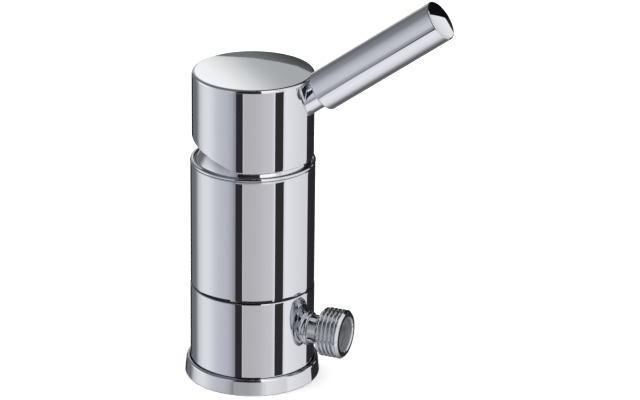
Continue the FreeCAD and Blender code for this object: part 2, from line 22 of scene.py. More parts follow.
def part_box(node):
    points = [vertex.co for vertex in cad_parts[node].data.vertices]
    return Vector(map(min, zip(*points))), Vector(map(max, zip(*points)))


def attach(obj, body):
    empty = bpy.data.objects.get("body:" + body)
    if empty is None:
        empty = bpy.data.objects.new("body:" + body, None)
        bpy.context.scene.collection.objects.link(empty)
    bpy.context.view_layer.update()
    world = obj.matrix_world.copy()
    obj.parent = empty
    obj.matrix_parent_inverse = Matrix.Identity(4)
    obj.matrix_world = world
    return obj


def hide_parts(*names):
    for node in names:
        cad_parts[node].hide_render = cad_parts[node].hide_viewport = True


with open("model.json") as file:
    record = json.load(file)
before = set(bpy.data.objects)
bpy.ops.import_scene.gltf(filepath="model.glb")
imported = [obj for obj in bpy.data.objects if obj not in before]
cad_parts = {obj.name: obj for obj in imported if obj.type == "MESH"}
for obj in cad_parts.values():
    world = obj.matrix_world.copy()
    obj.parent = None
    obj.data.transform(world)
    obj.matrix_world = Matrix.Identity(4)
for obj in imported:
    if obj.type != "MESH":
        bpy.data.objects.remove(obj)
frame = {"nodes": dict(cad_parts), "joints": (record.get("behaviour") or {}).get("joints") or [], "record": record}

MM = 0.001
# Vertices closer than this, in metres, are welded when a turned shape closes.
WELD_DISTANCE = 1e-7
# A vertex closer than this to a cutting plane, in metres, lies on it.
PLANE_DISTANCE = 1e-8
# What is closer than this to a wall or an axis, in millimetres, counts as on it.
NEAR = 0.01
# Longest run of an outline that stays undivided, in millimetres, where no other is given.
LONGEST_RUN = 4.0
# Longer than any run of a plain shaft, in millimetres, so that none is divided.
UNDIVIDED = 100.0
# Straight parts that stand for the roll before a polished edge.
ROLL_PARTS = 6
# Segments of the circle of a bore.
BORE_STEPS = 96
# How much the larger faces count where the shading of neighbours is evened out, in per cent.
LARGE_FACE_WEIGHT = 100
# Detail of the noise in the finishes, and where along it they are darkest and lightest.
NOISE_DETAIL = 4.0
DARKEST_AT = 0.35
LIGHTEST_AT = 0.6
log = logging.getLogger("mixer_tap")


class Body(Enum):
    """The bodies of the frame that the dressed pieces move with."""

    TAP = "tap_body"
    LEVER = "lever"


class Edge(Enum):
    """How finely a rounded edge is divided."""

    COARSE = 3
    FINE = 6


def linear(hex_colour: str) -> tuple[float, float, float, float]:
    """Turns an sRGB hex colour to linear light.

    Args:
        hex_colour: six hex digits after a hash sign.

    Returns:
        Red, green, blue and an alpha of one.
    """
    shares = [int(hex_colour[i:i + 2], 16) / 255 for i in (1, 3, 5)]
    light = [c / 12.92 if c <= 0.04045 else ((c + 0.055) / 1.055) ** 2.4 for c in shares]
    return (*light, 1.0)


def add_node(tree: bpy.types.NodeTree, kind: str, settings: dict | None = None,
             links: dict | None = None) -> bpy.types.Node:
    """Adds one node with its settings and links.

    Args:
        tree: the node tree that gets it.
        kind: Blender's name of the node type.
        settings: values by the name or number of an input, or by the name of a property.
        links: for an input's name or number, the node and the output that feed it.

    Returns:
        The new node.
    """
    node = tree.nodes.new(kind)
    for name, value in (settings or {}).items():
        if isinstance(name, int) or name in node.inputs:
            node.inputs[name].default_value = value
        else:
            setattr(node, name, value)
    for name, (source, output) in (links or {}).items():
        tree.links.new(source.outputs[output], node.inputs[name])
    return node


def new_material(name: str) -> bpy.types.Material:
    """Makes a material whose node tree is still empty.

    Args:
        name: its name.

    Returns:
        The new material.
    """
    material = bpy.data.materials.new(name)
    material.use_nodes = True
    material.node_tree.nodes.clear()
    return material


def new_object(name: str, mesh: bmesh.types.BMesh, materials: list[bpy.types.Material]) -> bpy.types.Object:
    """Puts a mesh in the scene as an object at the origin.

    Args:
        name: the name of the object and its mesh.
        mesh: its mesh in metres, which is freed here.
        materials: its materials, in the order of the faces' material numbers.

    Returns:
        The new object.
    """
    data = bpy.data.meshes.new(name)
    mesh.to_mesh(data)
    mesh.free()
    for material in materials:
        data.materials.append(material)
    made = bpy.data.objects.new(name, data)
    bpy.context.scene.collection.objects.link(made)
    return made


def grain(size_mm: float) -> float:
    """The scale of a noise whose grains are this size in millimetres."""
    return 1 / (size_mm * MM)


@dataclass(frozen=True)
class Finish:
    """A surface as its maker would name it."""

    name: str
    colour: str
    metallic: float
    roughness: float
    roughness_spread: float
    grain_mm: float
    relief_mm: float
    stretch: tuple[float, float, float] = (1.0, 1.0, 1.0)
    darker: str | None = None

    def material(self) -> bpy.types.Material:
        """Makes the material, or returns the one that was made before.

        Returns:
            A node material whose grain and relief come from real sizes.
        """
        made = bpy.data.materials.get(self.name)
        if made is not None:
            return made
        made = new_material(self.name)
        tree = made.node_tree
        place = add_node(tree, "ShaderNodeTexCoord")
        laid = add_node(tree, "ShaderNodeMapping", {"Scale": self.stretch}, {"Vector": (place, "Object")})
        grains = {"Scale": grain(self.grain_mm), "Detail": NOISE_DETAIL}
        noise = add_node(tree, "ShaderNodeTexNoise", grains, {"Vector": (laid, "Vector")})
        rough = add_node(tree, "ShaderNodeMapRange",
                         {"To Min": self.roughness - self.roughness_spread,
                          "To Max": self.roughness + self.roughness_spread}, {"Value": (noise, "Fac")})
        tint = add_node(tree, "ShaderNodeValToRGB", links={"Fac": (noise, "Fac")})
        tint.color_ramp.elements[0].color = linear(self.darker or self.colour)
        tint.color_ramp.elements[0].position = DARKEST_AT
        tint.color_ramp.elements[1].color = linear(self.colour)
        tint.color_ramp.elements[1].position = LIGHTEST_AT
        feeds = {"Base Color": (tint, "Color"), "Roughness": (rough, "Result")}
        if self.relief_mm:
            relief = add_node(tree, "ShaderNodeBump", {"Strength": 1.0, "Distance": self.relief_mm * MM},
                              {"Height": (noise, "Fac")})
            feeds["Normal"] = (relief, "Normal")
        surface = add_node(tree, "ShaderNodeBsdfPrincipled", {"Metallic": self.metallic}, feeds)
        add_node(tree, "ShaderNodeOutputMaterial", links={"Surface": (surface, "BSDF")})
        return made


# Bright nickel and chromium plate on polished brass: a cold mirror, with a breath of wiping marks.
POLISHED_CHROME = Finish("polished_chrome_plate", "#E7E8EA", 1.0, 0.014, 0.004, 9.0, 0.0, darker="#E6E7E9")
# The same plate on a turned neck that was only lightly polished: a greyer mirror.
GREY_CHROME = Finish("chrome_plate_on_turned_neck", "#CFD1D3", 1.0, 0.05, 0.02, 1.5, 0.0, (6.0, 1.0, 1.0),
                     darker="#C6C8CA")
# The same plate over a cut thread: softer, because the tool marks under it scatter the light.
THREAD_CHROME = Finish("chrome_plate_over_cut_thread", "#DADCDE", 1.0, 0.09, 0.03, 0.9, 0.0,
                       (6.0, 1.0, 1.0), darker="#CDCFD2")
# Thin plate in a bore that was left as turned: dull grey with fine rings round the bore.
PLATED_BORE = Finish("thin_plate_in_a_turned_bore", "#B9BCBE", 0.6, 0.42, 0.08, 2.5, 0.01, (5.0, 0.6, 0.6),
                     darker="#7F8387")
# Thin plate on the unpolished inside of a casting: dull, and darker than the outside.
UNPOLISHED_PLATE = Finish("thin_plate_on_unpolished_casting", "#B4B2AE", 1.0, 0.38, 0.08, 0.6, 0.02,
                          darker="#8E8C88")
# Dull plate at the bottom of a narrow groove or gap, where no polishing wheel gets to; its nearly black colour is
# painted shade for the shadow that falls in there.
GROOVE_PAINTED_SHADE = Finish("dull_plate_with_painted_groove_shade", "#3C3C3F", 0.7, 0.5, 0.08, 0.5, 0.0, darker="#2E2E31")
TURNED_BRASS = Finish("turned_free_cutting_brass", "#CFAE6A", 1.0, 0.26, 0.06, 0.5, 0.004, (1.0, 1.0, 12.0),
                      darker="#B8934F")
TURNED_STEEL = Finish("turned_stainless_steel", "#CDCDCE", 1.0, 0.24, 0.05, 0.4, 0.003, (1.0, 1.0, 10.0),
                      darker="#B3B3B5")
MOULDED_RUBBER = Finish("moulded_nitrile_rubber", "#26262A", 0.0, 0.72, 0.08, 0.35, 0.012, darker="#1A1A1C")
MOULDED_NYLON = Finish("moulded_black_nylon", "#202023", 0.0, 0.5, 0.06, 0.25, 0.006, darker="#17171A")
FILLED_PLASTIC = Finish("moulded_glass_filled_plastic", "#E4E3DD", 0.0, 0.42, 0.07, 0.45, 0.006,
                        darker="#D6D4CC")
ACETAL = Finish("moulded_acetal", "#F2F2EE", 0.0, 0.28, 0.05, 0.8, 0.002, darker="#E9E9E4")
LAPPED_ALUMINA = Finish("lapped_alumina_ceramic", "#EFEDE7", 0.0, 0.16, 0.04, 0.2, 0.001, darker="#E6E3DB")


@dataclass(frozen=True)
class Corner:
    """A corner of a turned outline, in millimetres.

    The rounding starts this far from the corner on both sides.
    """

    radius: float
    height: float
    rounding: float = 0.0


def arc(centre: tuple[float, float], radius: float, start: float, end: float, parts: int) -> list[Corner]:
    """Corners along a round stretch of an outline.

    Args:
        centre: radius and height of the arc's centre, in millimetres.
        radius: the arc's own radius.
        start: angle of the first corner above the outward direction, in degrees.
        end: angle of the last corner.
        parts: how many straight parts stand for the arc.

    Returns:
        The corners in order, both ends included.
    """
    turns = [math.radians(start + (end - start) * i / parts) for i in range(parts + 1)]
    return [Corner(centre[0] + radius * math.cos(t), centre[1] + radius * math.sin(t)) for t in turns]


def rolled_edge(wall: float, edge_height: float, width: float, drop: float) -> list[Corner]:
    """The slow roll that polishing leaves on a wall before its edge.

    Args:
        wall: radius of the wall.
        edge_height: height of the edge, above or below the wall.
        width: length of the roll; negative where the edge is at the foot of the wall.
        drop: how far the roll falls back at the edge.

    Returns:
        Corners from the wall to the edge.
    """
    shares = [i / ROLL_PARTS for i in range(ROLL_PARTS + 1)]
    return [Corner(wall - drop * share ** 2, edge_height - width * (1 - share)) for share in shares]


def add_outline(mesh: bmesh.types.BMesh, corners: list[Corner], closed: bool,
                longest: float) -> list[bmesh.types.BMEdge]:
    """Draws an outline in the plane of X and Z, with its corners rounded and its long runs divided.

    Args:
        mesh: the mesh that gets it.
        corners: the outline in order.
        closed: whether the last corner joins the first.
        longest: longest run that stays undivided, in millimetres.

    Returns:
        The edges of the outline.
    """
    before = set(mesh.edges)
    verts = [mesh.verts.new((c.radius * MM, 0, c.height * MM)) for c in corners]
    ends = zip(verts, verts[1:] + verts[:1]) if closed else zip(verts, verts[1:])
    for a, b in ends:
        mesh.edges.new((a, b))
    for size in sorted({c.rounding for c in corners} - {0.0}):
        rims = [v for v, c in zip(verts, corners) if c.rounding == size]
        bmesh.ops.bevel(mesh, geom=rims, offset=size * MM, offset_type="OFFSET",
                        segments=Edge.FINE.value, profile=0.5, affect="VERTICES", material=-1)
    for run in [e for e in mesh.edges if e not in before and e.calc_length() > longest * MM]:
        bmesh.ops.subdivide_edges(mesh, edges=[run], cuts=math.ceil(run.calc_length() / (longest * MM)) - 1)
    return [e for e in mesh.edges if e not in before]


def spin_round(mesh: bmesh.types.BMesh, outline: list[bmesh.types.BMEdge], steps: int) -> None:
    """Turns an outline a full circle about Z, and closes its seam and poles.

    Args:
        mesh: the mesh that holds the outline.
        outline: the edges to turn.
        steps: segments of the circle.
    """
    verts = {v for e in outline for v in e.verts}
    bmesh.ops.spin(mesh, geom=[*verts, *outline], cent=(0, 0, 0), axis=(0, 0, 1), dvec=(0, 0, 0),
                   angle=2 * math.pi, steps=steps, use_merge=True)
    bmesh.ops.remove_doubles(mesh, verts=mesh.verts[:], dist=WELD_DISTANCE)


def turned(*outlines: list[Corner], closed: bool = True, steps: int = 256,
           longest: float = LONGEST_RUN) -> bmesh.types.BMesh:
    """A piece turned about Z from one or more outlines.

    Args:
        outlines: each a list of corners.
        closed: whether each outline joins up; one that starts and ends on the axis doesn't.
        steps: segments of the circle.
        longest: longest run that stays undivided, in millimetres.

    Returns:
        The mesh, in metres.
    """
    mesh = bmesh.new()
    for corners in outlines:
        spin_round(mesh, add_outline(mesh, corners, closed, longest), steps)
    bmesh.ops.recalc_face_normals(mesh, faces=mesh.faces[:])
    return mesh


def cut_below(mesh: bmesh.types.BMesh, point: Vector, upwards: Vector) -> None:
    """Cuts a mesh with a plane and drops what lies below it.

    Args:
        mesh: the mesh to cut.
        point: a point of the plane.
        upwards: the plane's normal, on the side that stays.
    """
    bmesh.ops.bisect_plane(mesh, geom=[*mesh.verts, *mesh.edges, *mesh.faces], plane_co=point,
                           plane_no=upwards, dist=PLANE_DISTANCE, clear_inner=True)


def mark_sharp(mesh: bmesh.types.BMesh, degrees: float = 32.0) -> None:
    """Shades faces smooth and keeps edges sharper than an angle crisp.

    Args:
        mesh: the mesh to mark.
        degrees: the angle between two faces from which their edge is crisp.
    """
    for face in mesh.faces:
        face.smooth = True
    for edge in mesh.edges:
        edge.smooth = len(edge.link_faces) != 2 or edge.calc_face_angle(0.0) < math.radians(degrees)


def make_piece(name: str, mesh: bmesh.types.BMesh, finishes: list[Finish], body: Body, node: str) -> None:
    """Makes an object, at the origin, that stands for a CAD node.

    Args:
        name: the piece's own name.
        mesh: its mesh in metres, in the CAD frame; it is freed here.
        finishes: its finishes, in the order of the faces' material numbers.
        body: the body that it moves with.
        node: the CAD node that it replaces.
    """
    mark_sharp(mesh)
    piece = new_object(name, mesh, [finish.material() for finish in finishes])
    weighted = piece.modifiers.new("weighted_normals", "WEIGHTED_NORMAL")
    weighted.keep_sharp = True
    weighted.weight = LARGE_FACE_WEIGHT
    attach(piece, body.value)
    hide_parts(node)
    log.info("%s: %d faces, rides on %s", name, len(piece.data.polygons), body.value)


def carved(mesh: bmesh.types.BMesh, cutter: bmesh.types.BMesh) -> bmesh.types.BMesh:
    """Takes one closed mesh away from another.

    Args:
        mesh: the mesh that is cut; it is freed here.
        cutter: the mesh that is taken away; it is freed here.

    Returns:
        What is left.
    """
    block, tool = (new_object("carving", bit, []) for bit in (mesh, cutter))
    cut = block.modifiers.new("cut", "BOOLEAN")
    cut.operation = "DIFFERENCE"
    cut.solver = "EXACT"
    cut.object = tool
    depsgraph = bpy.context.evaluated_depsgraph_get()
    result = bmesh.new()
    result.from_mesh(block.evaluated_get(depsgraph).to_mesh())
    for bit in (block, tool):
        data = bit.data
        bpy.data.objects.remove(bit)
        bpy.data.meshes.remove(data)
    return result


def cylinder(radius: float, foot: float, top: float) -> bmesh.types.BMesh:
    """A plain closed cylinder about Z, as round as a bore.

    Args:
        radius: in millimetres, as the heights are.
        foot: lower end.
        top: upper end.

    Returns:
        The mesh, in metres.
    """
    section = [Corner(0, foot), Corner(radius, foot), Corner(radius, top), Corner(0, top)]
    return turned(section, closed=False, steps=BORE_STEPS, longest=UNDIVIDED)


@cache
def reach(node: str) -> float:
    """Radius of a round upright node, in millimetres."""
    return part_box(node)[1].y / MM


@cache
def foot_of(node: str) -> float:
    """Height of a node's underside, in millimetres."""
    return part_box(node)[0].z / MM


@cache
def top_of(node: str) -> float:
    """Height of a node's top, in millimetres."""
    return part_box(node)[1].z / MM


@dataclass(frozen=True)
class Spigot:
    """The short foot of the casting, which stands inside the flange."""

    radius: float = 22.14
    height: float = 2.0


@dataclass(frozen=True)
class OutletSeat:
    """How the hose outlet sits in the casting: its line, the stub that screws in and the collar's seat.

    The height is above the deck. The stub's start and the collar's seat lie that far from the tap's axis.
    """

    height: float = 23.7
    stub_start: float = 15.38
    stub: float = 6.0
    collar_seat: float = 25.38
    collar: float = 7.2
    bore: float = 3.9

    def matrix(self) -> Matrix:
        """Lays a shape that was built along Z on the outlet's line."""
        return Matrix.Translation((0, 0, self.height * MM)) @ Matrix.Rotation(math.pi / 2, 4, "Y")


@dataclass
class Foot:
    """The round flange that the tap stands on."""

    spigot: Spigot = Spigot()
    spigot_clearance: float = 0.05
    foot_rounding: float = 0.35
    draft: float = 5.0
    crown: float = 1.05
    inner_lip: float = 0.12
    clearance: float = 0.45
    gap_depth: float = 0.25
    gasket_outer: float = 27.13
    gasket_inner: float = 24.13
    gasket_depth: float = 1.2

    def build(self) -> None:
        """Turns the flange, with the groove of its gasket and the shadow gap round the casting, dark with painted
        shade.
        """
        outer, height = reach("base_ring"), top_of("base_ring")
        drawn_in = outer - height * math.tan(math.radians(self.draft))
        bore = reach("valve_body") + self.clearance
        spigot_bore = self.spigot.radius + self.spigot_clearance
        section = [
            Corner(spigot_bore, 0),
            Corner(self.gasket_inner, 0), Corner(self.gasket_inner, self.gasket_depth),
            Corner(self.gasket_outer, self.gasket_depth), Corner(self.gasket_outer, 0),
            Corner(outer, 0, self.foot_rounding), Corner(drawn_in, height, self.crown),
            Corner(bore, height, self.inner_lip), Corner(bore, self.spigot.height),
            Corner(spigot_bore, self.spigot.height),
        ]
        mesh = turned(section)
        # The faces deep in the gap get the nearly black finish: painted shade, not a colour of the plate.
        for face in mesh.faces:
            centre = face.calc_center_median()
            in_gap = math.hypot(centre.x, centre.y) < (bore + NEAR) * MM
            face.material_index = int(in_gap and centre.z < (height - self.gap_depth) * MM)
        make_piece("foot_flange", mesh, [POLISHED_CHROME, GROOVE_PAINTED_SHADE], Body.TAP, "base_ring")


@dataclass
class LowerBody:
    """The casting: the lower body with its sockets, and the column inside the sleeve."""

    spigot: Spigot = Spigot()
    spigot_rounding: float = 0.3
    wall_top: float = 40.95
    edge_chamfer: float = 0.3
    roll_width: float = 1.2
    roll_drop: float = 0.03
    foot_roll_width: float = 0.8
    foot_roll_drop: float = 0.015
    column: float = 24.3
    neck: float = 22.9
    neck_foot: float = 86.0
    top_rounding: float = 0.3
    bore: float = 20.05
    seat: float = 58.0
    inlet_radius: float = 4.5
    inlet_depth: float = 14.0
    inlet_bore: float = 3.6
    stud_radius: float = 3.4
    stud_depth: float = 12.0
    mouth_chamfer: float = 0.6
    point_share: float = 0.5
    outlet: OutletSeat = OutletSeat()
    collar_clearance: float = 0.12
    stub_clearance: float = 0.05
    port_radius: float = 11.2
    overshoot: float = 1.0

    def build(self) -> None:
        """Turns the casting, and drills its sockets, its passages and the seat of the outlet.

        A cutter overshoots what it opens, so that no face of it falls on a face of the casting.
        """
        outer, top = reach("valve_body"), top_of("valve_body")
        wall = [
            Corner(outer - self.foot_roll_drop, self.spigot.height),
            *reversed(rolled_edge(outer, top_of("base_ring"), -self.foot_roll_width, self.foot_roll_drop)),
            *rolled_edge(outer, self.wall_top - self.edge_chamfer, self.roll_width, self.roll_drop),
            Corner(outer - self.roll_drop - self.edge_chamfer, self.wall_top),
        ]
        section = [
            Corner(0, 0), Corner(self.spigot.radius, 0, self.spigot_rounding),
            Corner(self.spigot.radius, self.spigot.height), *wall,
            Corner(self.column, self.wall_top), Corner(self.column, self.neck_foot),
            Corner(self.neck, self.neck_foot), Corner(self.neck, top, self.top_rounding),
            Corner(self.bore, top, self.top_rounding), Corner(self.bore, self.seat), Corner(0, self.seat),
        ]
        mesh = turned(section, closed=False)
        for cutter in [*self.sockets(), *self.passages(), *self.outlet_bores(outer)]:
            mesh = carved(mesh, cutter)
        make_piece("lower_casting", mesh, [POLISHED_CHROME], Body.TAP, "valve_body")

    def mount_place(self, name: str) -> Vector:
        """The place on the deck of one of the record's mounts, in metres."""
        mount = next(m for m in frame["record"]["mounts"] if m["name"] == name)
        x, y, _ = mount["pos_m"]
        return Vector((x, y, 0))

    def sockets(self) -> list[bmesh.types.BMesh]:
        """The cutters of the tapped sockets in the underside, in the order of the record's mounts."""
        inlet, stud = (self.inlet_radius, self.inlet_depth), (self.stud_radius, self.stud_depth)
        sizes = {"inlet_left": inlet, "inlet_right": inlet, "stud_hole": stud}
        return [self.socket(self.mount_place(name), *size) for name, size in sizes.items()]

    def passages(self) -> list[bmesh.types.BMesh]:
        """The cutters of the upright passages: two from the inlets to the seat, one down to the outlet."""
        top = self.seat + self.overshoot
        bores = [self.bored(self.inlet_bore, self.inlet_radius, top, self.mount_place(name))
                 for name in ("inlet_left", "inlet_right")]
        outlet_port = Vector((-self.port_radius * MM, 0, 0))
        foot = self.outlet.height - self.outlet.bore
        return [*bores, self.bored(self.outlet.bore, foot, top, outlet_port)]

    def outlet_bores(self, outer: float) -> list[bmesh.types.BMesh]:
        """The cutters along the outlet's line: the collar's recess, the stub's socket and the passage.

        Args:
            outer: radius of the casting's wall, in millimetres.

        Returns:
            The cutters' meshes.
        """
        seat, past = self.outlet, self.overshoot
        cutters = [
            cylinder(seat.collar + self.collar_clearance, seat.collar_seat, outer + past),
            cylinder(seat.stub + self.stub_clearance, seat.stub_start, seat.collar_seat + past),
            cylinder(seat.bore, -self.port_radius, seat.stub_start + past),
        ]
        for cutter in cutters:
            cutter.transform(seat.matrix())
        return cutters

    def bored(self, radius: float, foot: float, top: float, place: Vector) -> bmesh.types.BMesh:
        """The cutter of an upright passage.

        Args:
            radius: of the passage, in millimetres.
            foot: its lower end.
            top: its upper end.
            place: centre of the passage on the deck, in metres.

        Returns:
            The cutter's mesh.
        """
        cutter = cylinder(radius, foot, top)
        cutter.transform(Matrix.Translation(place))
        return cutter

    def socket(self, place: Vector, radius: float, depth: float) -> bmesh.types.BMesh:
        """The cutter of a tapped socket, with its chamfered mouth.

        Args:
            place: centre of the mouth, in metres.
            radius: of the socket.
            depth: of the socket, to its shoulder.

        Returns:
            The cutter's mesh.
        """
        wide, below = radius + self.mouth_chamfer, -self.overshoot
        section = [
            Corner(0, below), Corner(wide, below), Corner(wide, 0), Corner(radius, self.mouth_chamfer),
            Corner(radius, depth), Corner(0, depth + self.point_share * radius),
        ]
        cutter = turned(section, closed=False, steps=BORE_STEPS)
        cutter.transform(Matrix.Translation(place))
        return cutter


@dataclass
class Sleeve:
    """The tall polished tube over the column."""

    bore: float = 24.5
    edge_chamfer: float = 0.22
    roll_width: float = 1.4
    roll_drop: float = 0.04

    def build(self) -> None:
        """Turns the tube, with the edges that polishing has rolled over."""
        outer, foot, top = reach("body_sleeve"), foot_of("body_sleeve"), top_of("body_sleeve")
        lower = rolled_edge(outer, foot + self.edge_chamfer, -self.roll_width, self.roll_drop)
        upper = rolled_edge(outer, top - self.edge_chamfer, self.roll_width, self.roll_drop)
        edge = outer - self.roll_drop - self.edge_chamfer
        wall = [Corner(edge, foot), *reversed(lower), *upper, Corner(edge, top)]
        mesh = turned([*wall, Corner(self.bore, top), Corner(self.bore, foot)])
        make_piece("column_sleeve", mesh, [POLISHED_CHROME], Body.TAP, "body_sleeve")


@dataclass
class TrimRing:
    """The rounded bead on top of the sleeve, with the skirt and ledge inside it."""

    skirt_bore: float = 22.95
    skirt_step: float = 0.25
    groove: float = 25.71
    bead_foot: float = 95.95
    sleeve_top: float = 95.7
    bead_bore: float = 24.05
    ledge_bore: float = 22.0
    ledge_foot: float = 93.5
    ledge_top: float = 95.0
    foot_rounding: float = 0.35
    bead_rounding: float = 0.95
    inner_rounding: float = 1.0

    def build(self) -> None:
        """Turns the ring."""
        outer, foot, top = reach("trim_ring"), foot_of("trim_ring"), top_of("trim_ring")
        skirt = self.bead_bore + self.skirt_step
        section = [
            Corner(self.skirt_bore, foot), Corner(skirt, foot), Corner(skirt, self.sleeve_top),
            Corner(self.groove, self.sleeve_top), Corner(self.groove, self.bead_foot),
            Corner(outer, self.bead_foot, self.foot_rounding), Corner(outer, top, self.bead_rounding),
            Corner(self.bead_bore, top, self.inner_rounding), Corner(self.bead_bore, self.ledge_top),
            Corner(self.ledge_bore, self.ledge_top), Corner(self.ledge_bore, self.ledge_foot),
            Corner(self.skirt_bore, self.ledge_foot),
        ]
        mesh = turned(section)
        # The faces of the groove under the bead get the nearly black finish: painted shade in the groove between
        # the bead and the sleeve.
        for face in mesh.faces:
            centre = face.calc_center_median()
            radius, level = math.hypot(centre.x, centre.y) / MM, centre.z / MM
            in_groove = skirt < radius < outer - self.foot_rounding and level < self.bead_foot + NEAR
            face.material_index = int(in_groove)
        make_piece("bead_ring", mesh, [POLISHED_CHROME, GROOVE_PAINTED_SHADE], Body.TAP, "trim_ring")


@dataclass
class Dome:
    """The domed cover, struck from the tilting axis."""

    pivot: float = 87.0
    wall: float = 1.5
    opening: float = 17.0
    parts: int = 24

    def build(self) -> None:
        """Turns the shell between two spheres about the tilting axis."""
        foot_radius, foot, top = reach("dome_cover"), foot_of("dome_cover"), top_of("dome_cover")
        outer = math.hypot(self.opening, top - self.pivot)
        inner = outer - self.wall
        low = math.degrees(math.acos(foot_radius / outer))
        high = math.degrees(math.acos(self.opening / outer))
        inner_high = math.degrees(math.acos(self.opening / inner))
        inner_low = math.degrees(math.asin((foot - self.pivot) / inner))
        centre = (0.0, self.pivot)
        section = [
            Corner(foot_radius, foot), *arc(centre, outer, low, high, self.parts),
            *arc(centre, inner, inner_high, inner_low, self.parts),
        ]
        make_piece("dome_shell", turned(section), [POLISHED_CHROME], Body.TAP, "dome_cover")


class OutletZone(Enum):
    """The parts of the hose outlet that are finished differently, by material number."""

    NECK = 0
    THREAD = 1
    MOUTH = 2
    END = 3


@dataclass
class HoseOutlet:
    """The nipple low on the side, with its real pipe thread."""

    seat: OutletSeat = OutletSeat()
    stub_rounding: float = 0.3
    collar_foot_rounding: float = 0.2
    collar_end: float = 27.6
    collar_rounding: float = 0.9
    neck: float = 6.2
    neck_foot_rounding: float = 0.25
    neck_top_rounding: float = 0.4
    thread_start: float = 32.7
    start_bevel: float = 1.1
    start_rounding: float = 0.2
    major: float = 10.4775
    thread_depth: float = 1.16
    root_sharpness: float = 1.35
    pitch: float = 1.814
    runout: float = 0.3
    end_land: float = 0.2
    bevel_length: float = 1.0
    bevel_angle: float = 43.0
    rim_rounding: float = 0.12
    mouth: float = 7.3
    countersink: float = 0.55
    countersink_depth: float = 0.35
    countersink_rim: float = 0.05
    countersink_foot: float = 0.08
    mouth_floor: float = 36.0
    floor_rounding: float = 0.4
    bore_rounding: float = 0.3
    floor_margin: float = 0.1
    bore_margin: float = 0.2
    longest_run: float = 1.6
    rows_per_pitch: int = 16
    steps: int = 160

    def build(self) -> None:
        """Turns the nipple, cuts its thread and lays it along the outlet's axis."""
        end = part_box("hose_outlet")[1].x / MM
        row = self.pitch / self.rows_per_pitch
        first = self.thread_start + self.start_bevel
        last = end - self.bevel_length
        rows = int((last - first) / row)
        thread = [Corner(self.major, first + i * row) for i in range(rows + 1)]
        rim = self.major - self.bevel_length * math.tan(math.radians(self.bevel_angle))
        seat = self.seat
        section = [
            Corner(seat.bore, seat.stub_start), Corner(seat.stub, seat.stub_start, self.stub_rounding),
            Corner(seat.stub, seat.collar_seat),
            Corner(seat.collar, seat.collar_seat, self.collar_foot_rounding),
            Corner(seat.collar, self.collar_end, self.collar_rounding),
            Corner(self.neck, self.collar_end, self.neck_foot_rounding),
            Corner(self.neck, self.thread_start, self.neck_top_rounding),
            Corner(self.major - self.start_bevel, self.thread_start, self.start_rounding), *thread,
            Corner(self.major, last), Corner(rim, end, self.rim_rounding),
            Corner(self.mouth + self.countersink, end, self.countersink_rim),
            Corner(self.mouth, end - self.countersink_depth, self.countersink_foot),
            Corner(self.mouth, self.mouth_floor, self.floor_rounding),
            Corner(seat.bore, self.mouth_floor, self.bore_rounding),
        ]
        mesh = turned(section, steps=self.steps, longest=self.longest_run)
        for face in mesh.faces:
            face.material_index = self.zone_of(face, end).value
        self.cut_thread(mesh, last)
        mesh.transform(seat.matrix())
        finishes = [GREY_CHROME, THREAD_CHROME, PLATED_BORE, POLISHED_CHROME]
        make_piece("outlet_nipple", mesh, finishes, Body.TAP, "hose_outlet")

    def zone_of(self, face: bmesh.types.BMFace, end: float) -> OutletZone:
        """Tells which zone a face belongs to.

        Args:
            face: the face, while the nipple still stands along Z.
            end: height of the end face, in millimetres.

        Returns:
            The zone, whose value is the face's material number.
        """
        centre = face.calc_center_median()
        radius, height = math.hypot(centre.x, centre.y) / MM, centre.z / MM
        above_floor = self.mouth_floor - self.floor_margin < height < end - self.countersink_depth
        if radius < self.seat.bore + self.bore_margin or (radius < self.mouth + NEAR and above_floor):
            return OutletZone.MOUTH
        if height > end - self.bevel_length:
            return OutletZone.END
        return OutletZone.THREAD if height > self.thread_start else OutletZone.NECK

    def cut_thread(self, mesh: bmesh.types.BMesh, last: float) -> None:
        """Sinks the helical groove into the outer wall, while the nipple still stands along Z.

        Args:
            mesh: the turned nipple.
            last: height at which the groove has to be gone, in millimetres.
        """
        for vert in mesh.verts:
            radius, height = math.hypot(vert.co.x, vert.co.y) / MM, vert.co.z / MM
            if radius < self.major - NEAR or not self.thread_start < height < last + NEAR:
                continue
            turn = math.atan2(vert.co.y, vert.co.x) / (2 * math.pi)
            share = 0.5 - 0.5 * math.cos(2 * math.pi * (height / self.pitch - turn))
            fade = min(1.0, max(0.0, (last - self.end_land - height) / (self.runout * self.pitch)))
            sunk = self.major - self.thread_depth * fade * share ** self.root_sharpness
            vert.co.x *= sunk / radius
            vert.co.y *= sunk / radius


@dataclass(frozen=True)
class LeverLine:
    """The straight line of the lever, as the frame holds it at rest.

    It rises from the tap's axis at the crossing. The neck ends and the grip starts at the shoulder.
    """

    rise: float = 36.15
    crossing: float = 108.1
    shoulder: float = 37.5

    def swivel(self) -> float:
        """Angle of the lever from the outlet at rest, in radians, square to the tilting axis."""
        tilt = next(j for j in frame["joints"] if j["name"] == "flow_tilt")
        x, y, _ = tilt["axis"]
        return math.atan2(x, -y)

    def matrix(self) -> Matrix:
        """Lays a shape that was built along Z on the lever's line."""
        lean = Matrix.Rotation(math.radians(90 - self.rise), 4, "Y")
        turn = Matrix.Rotation(self.swivel(), 4, "Z")
        return Matrix.Translation((0, 0, self.crossing * MM)) @ turn @ lean


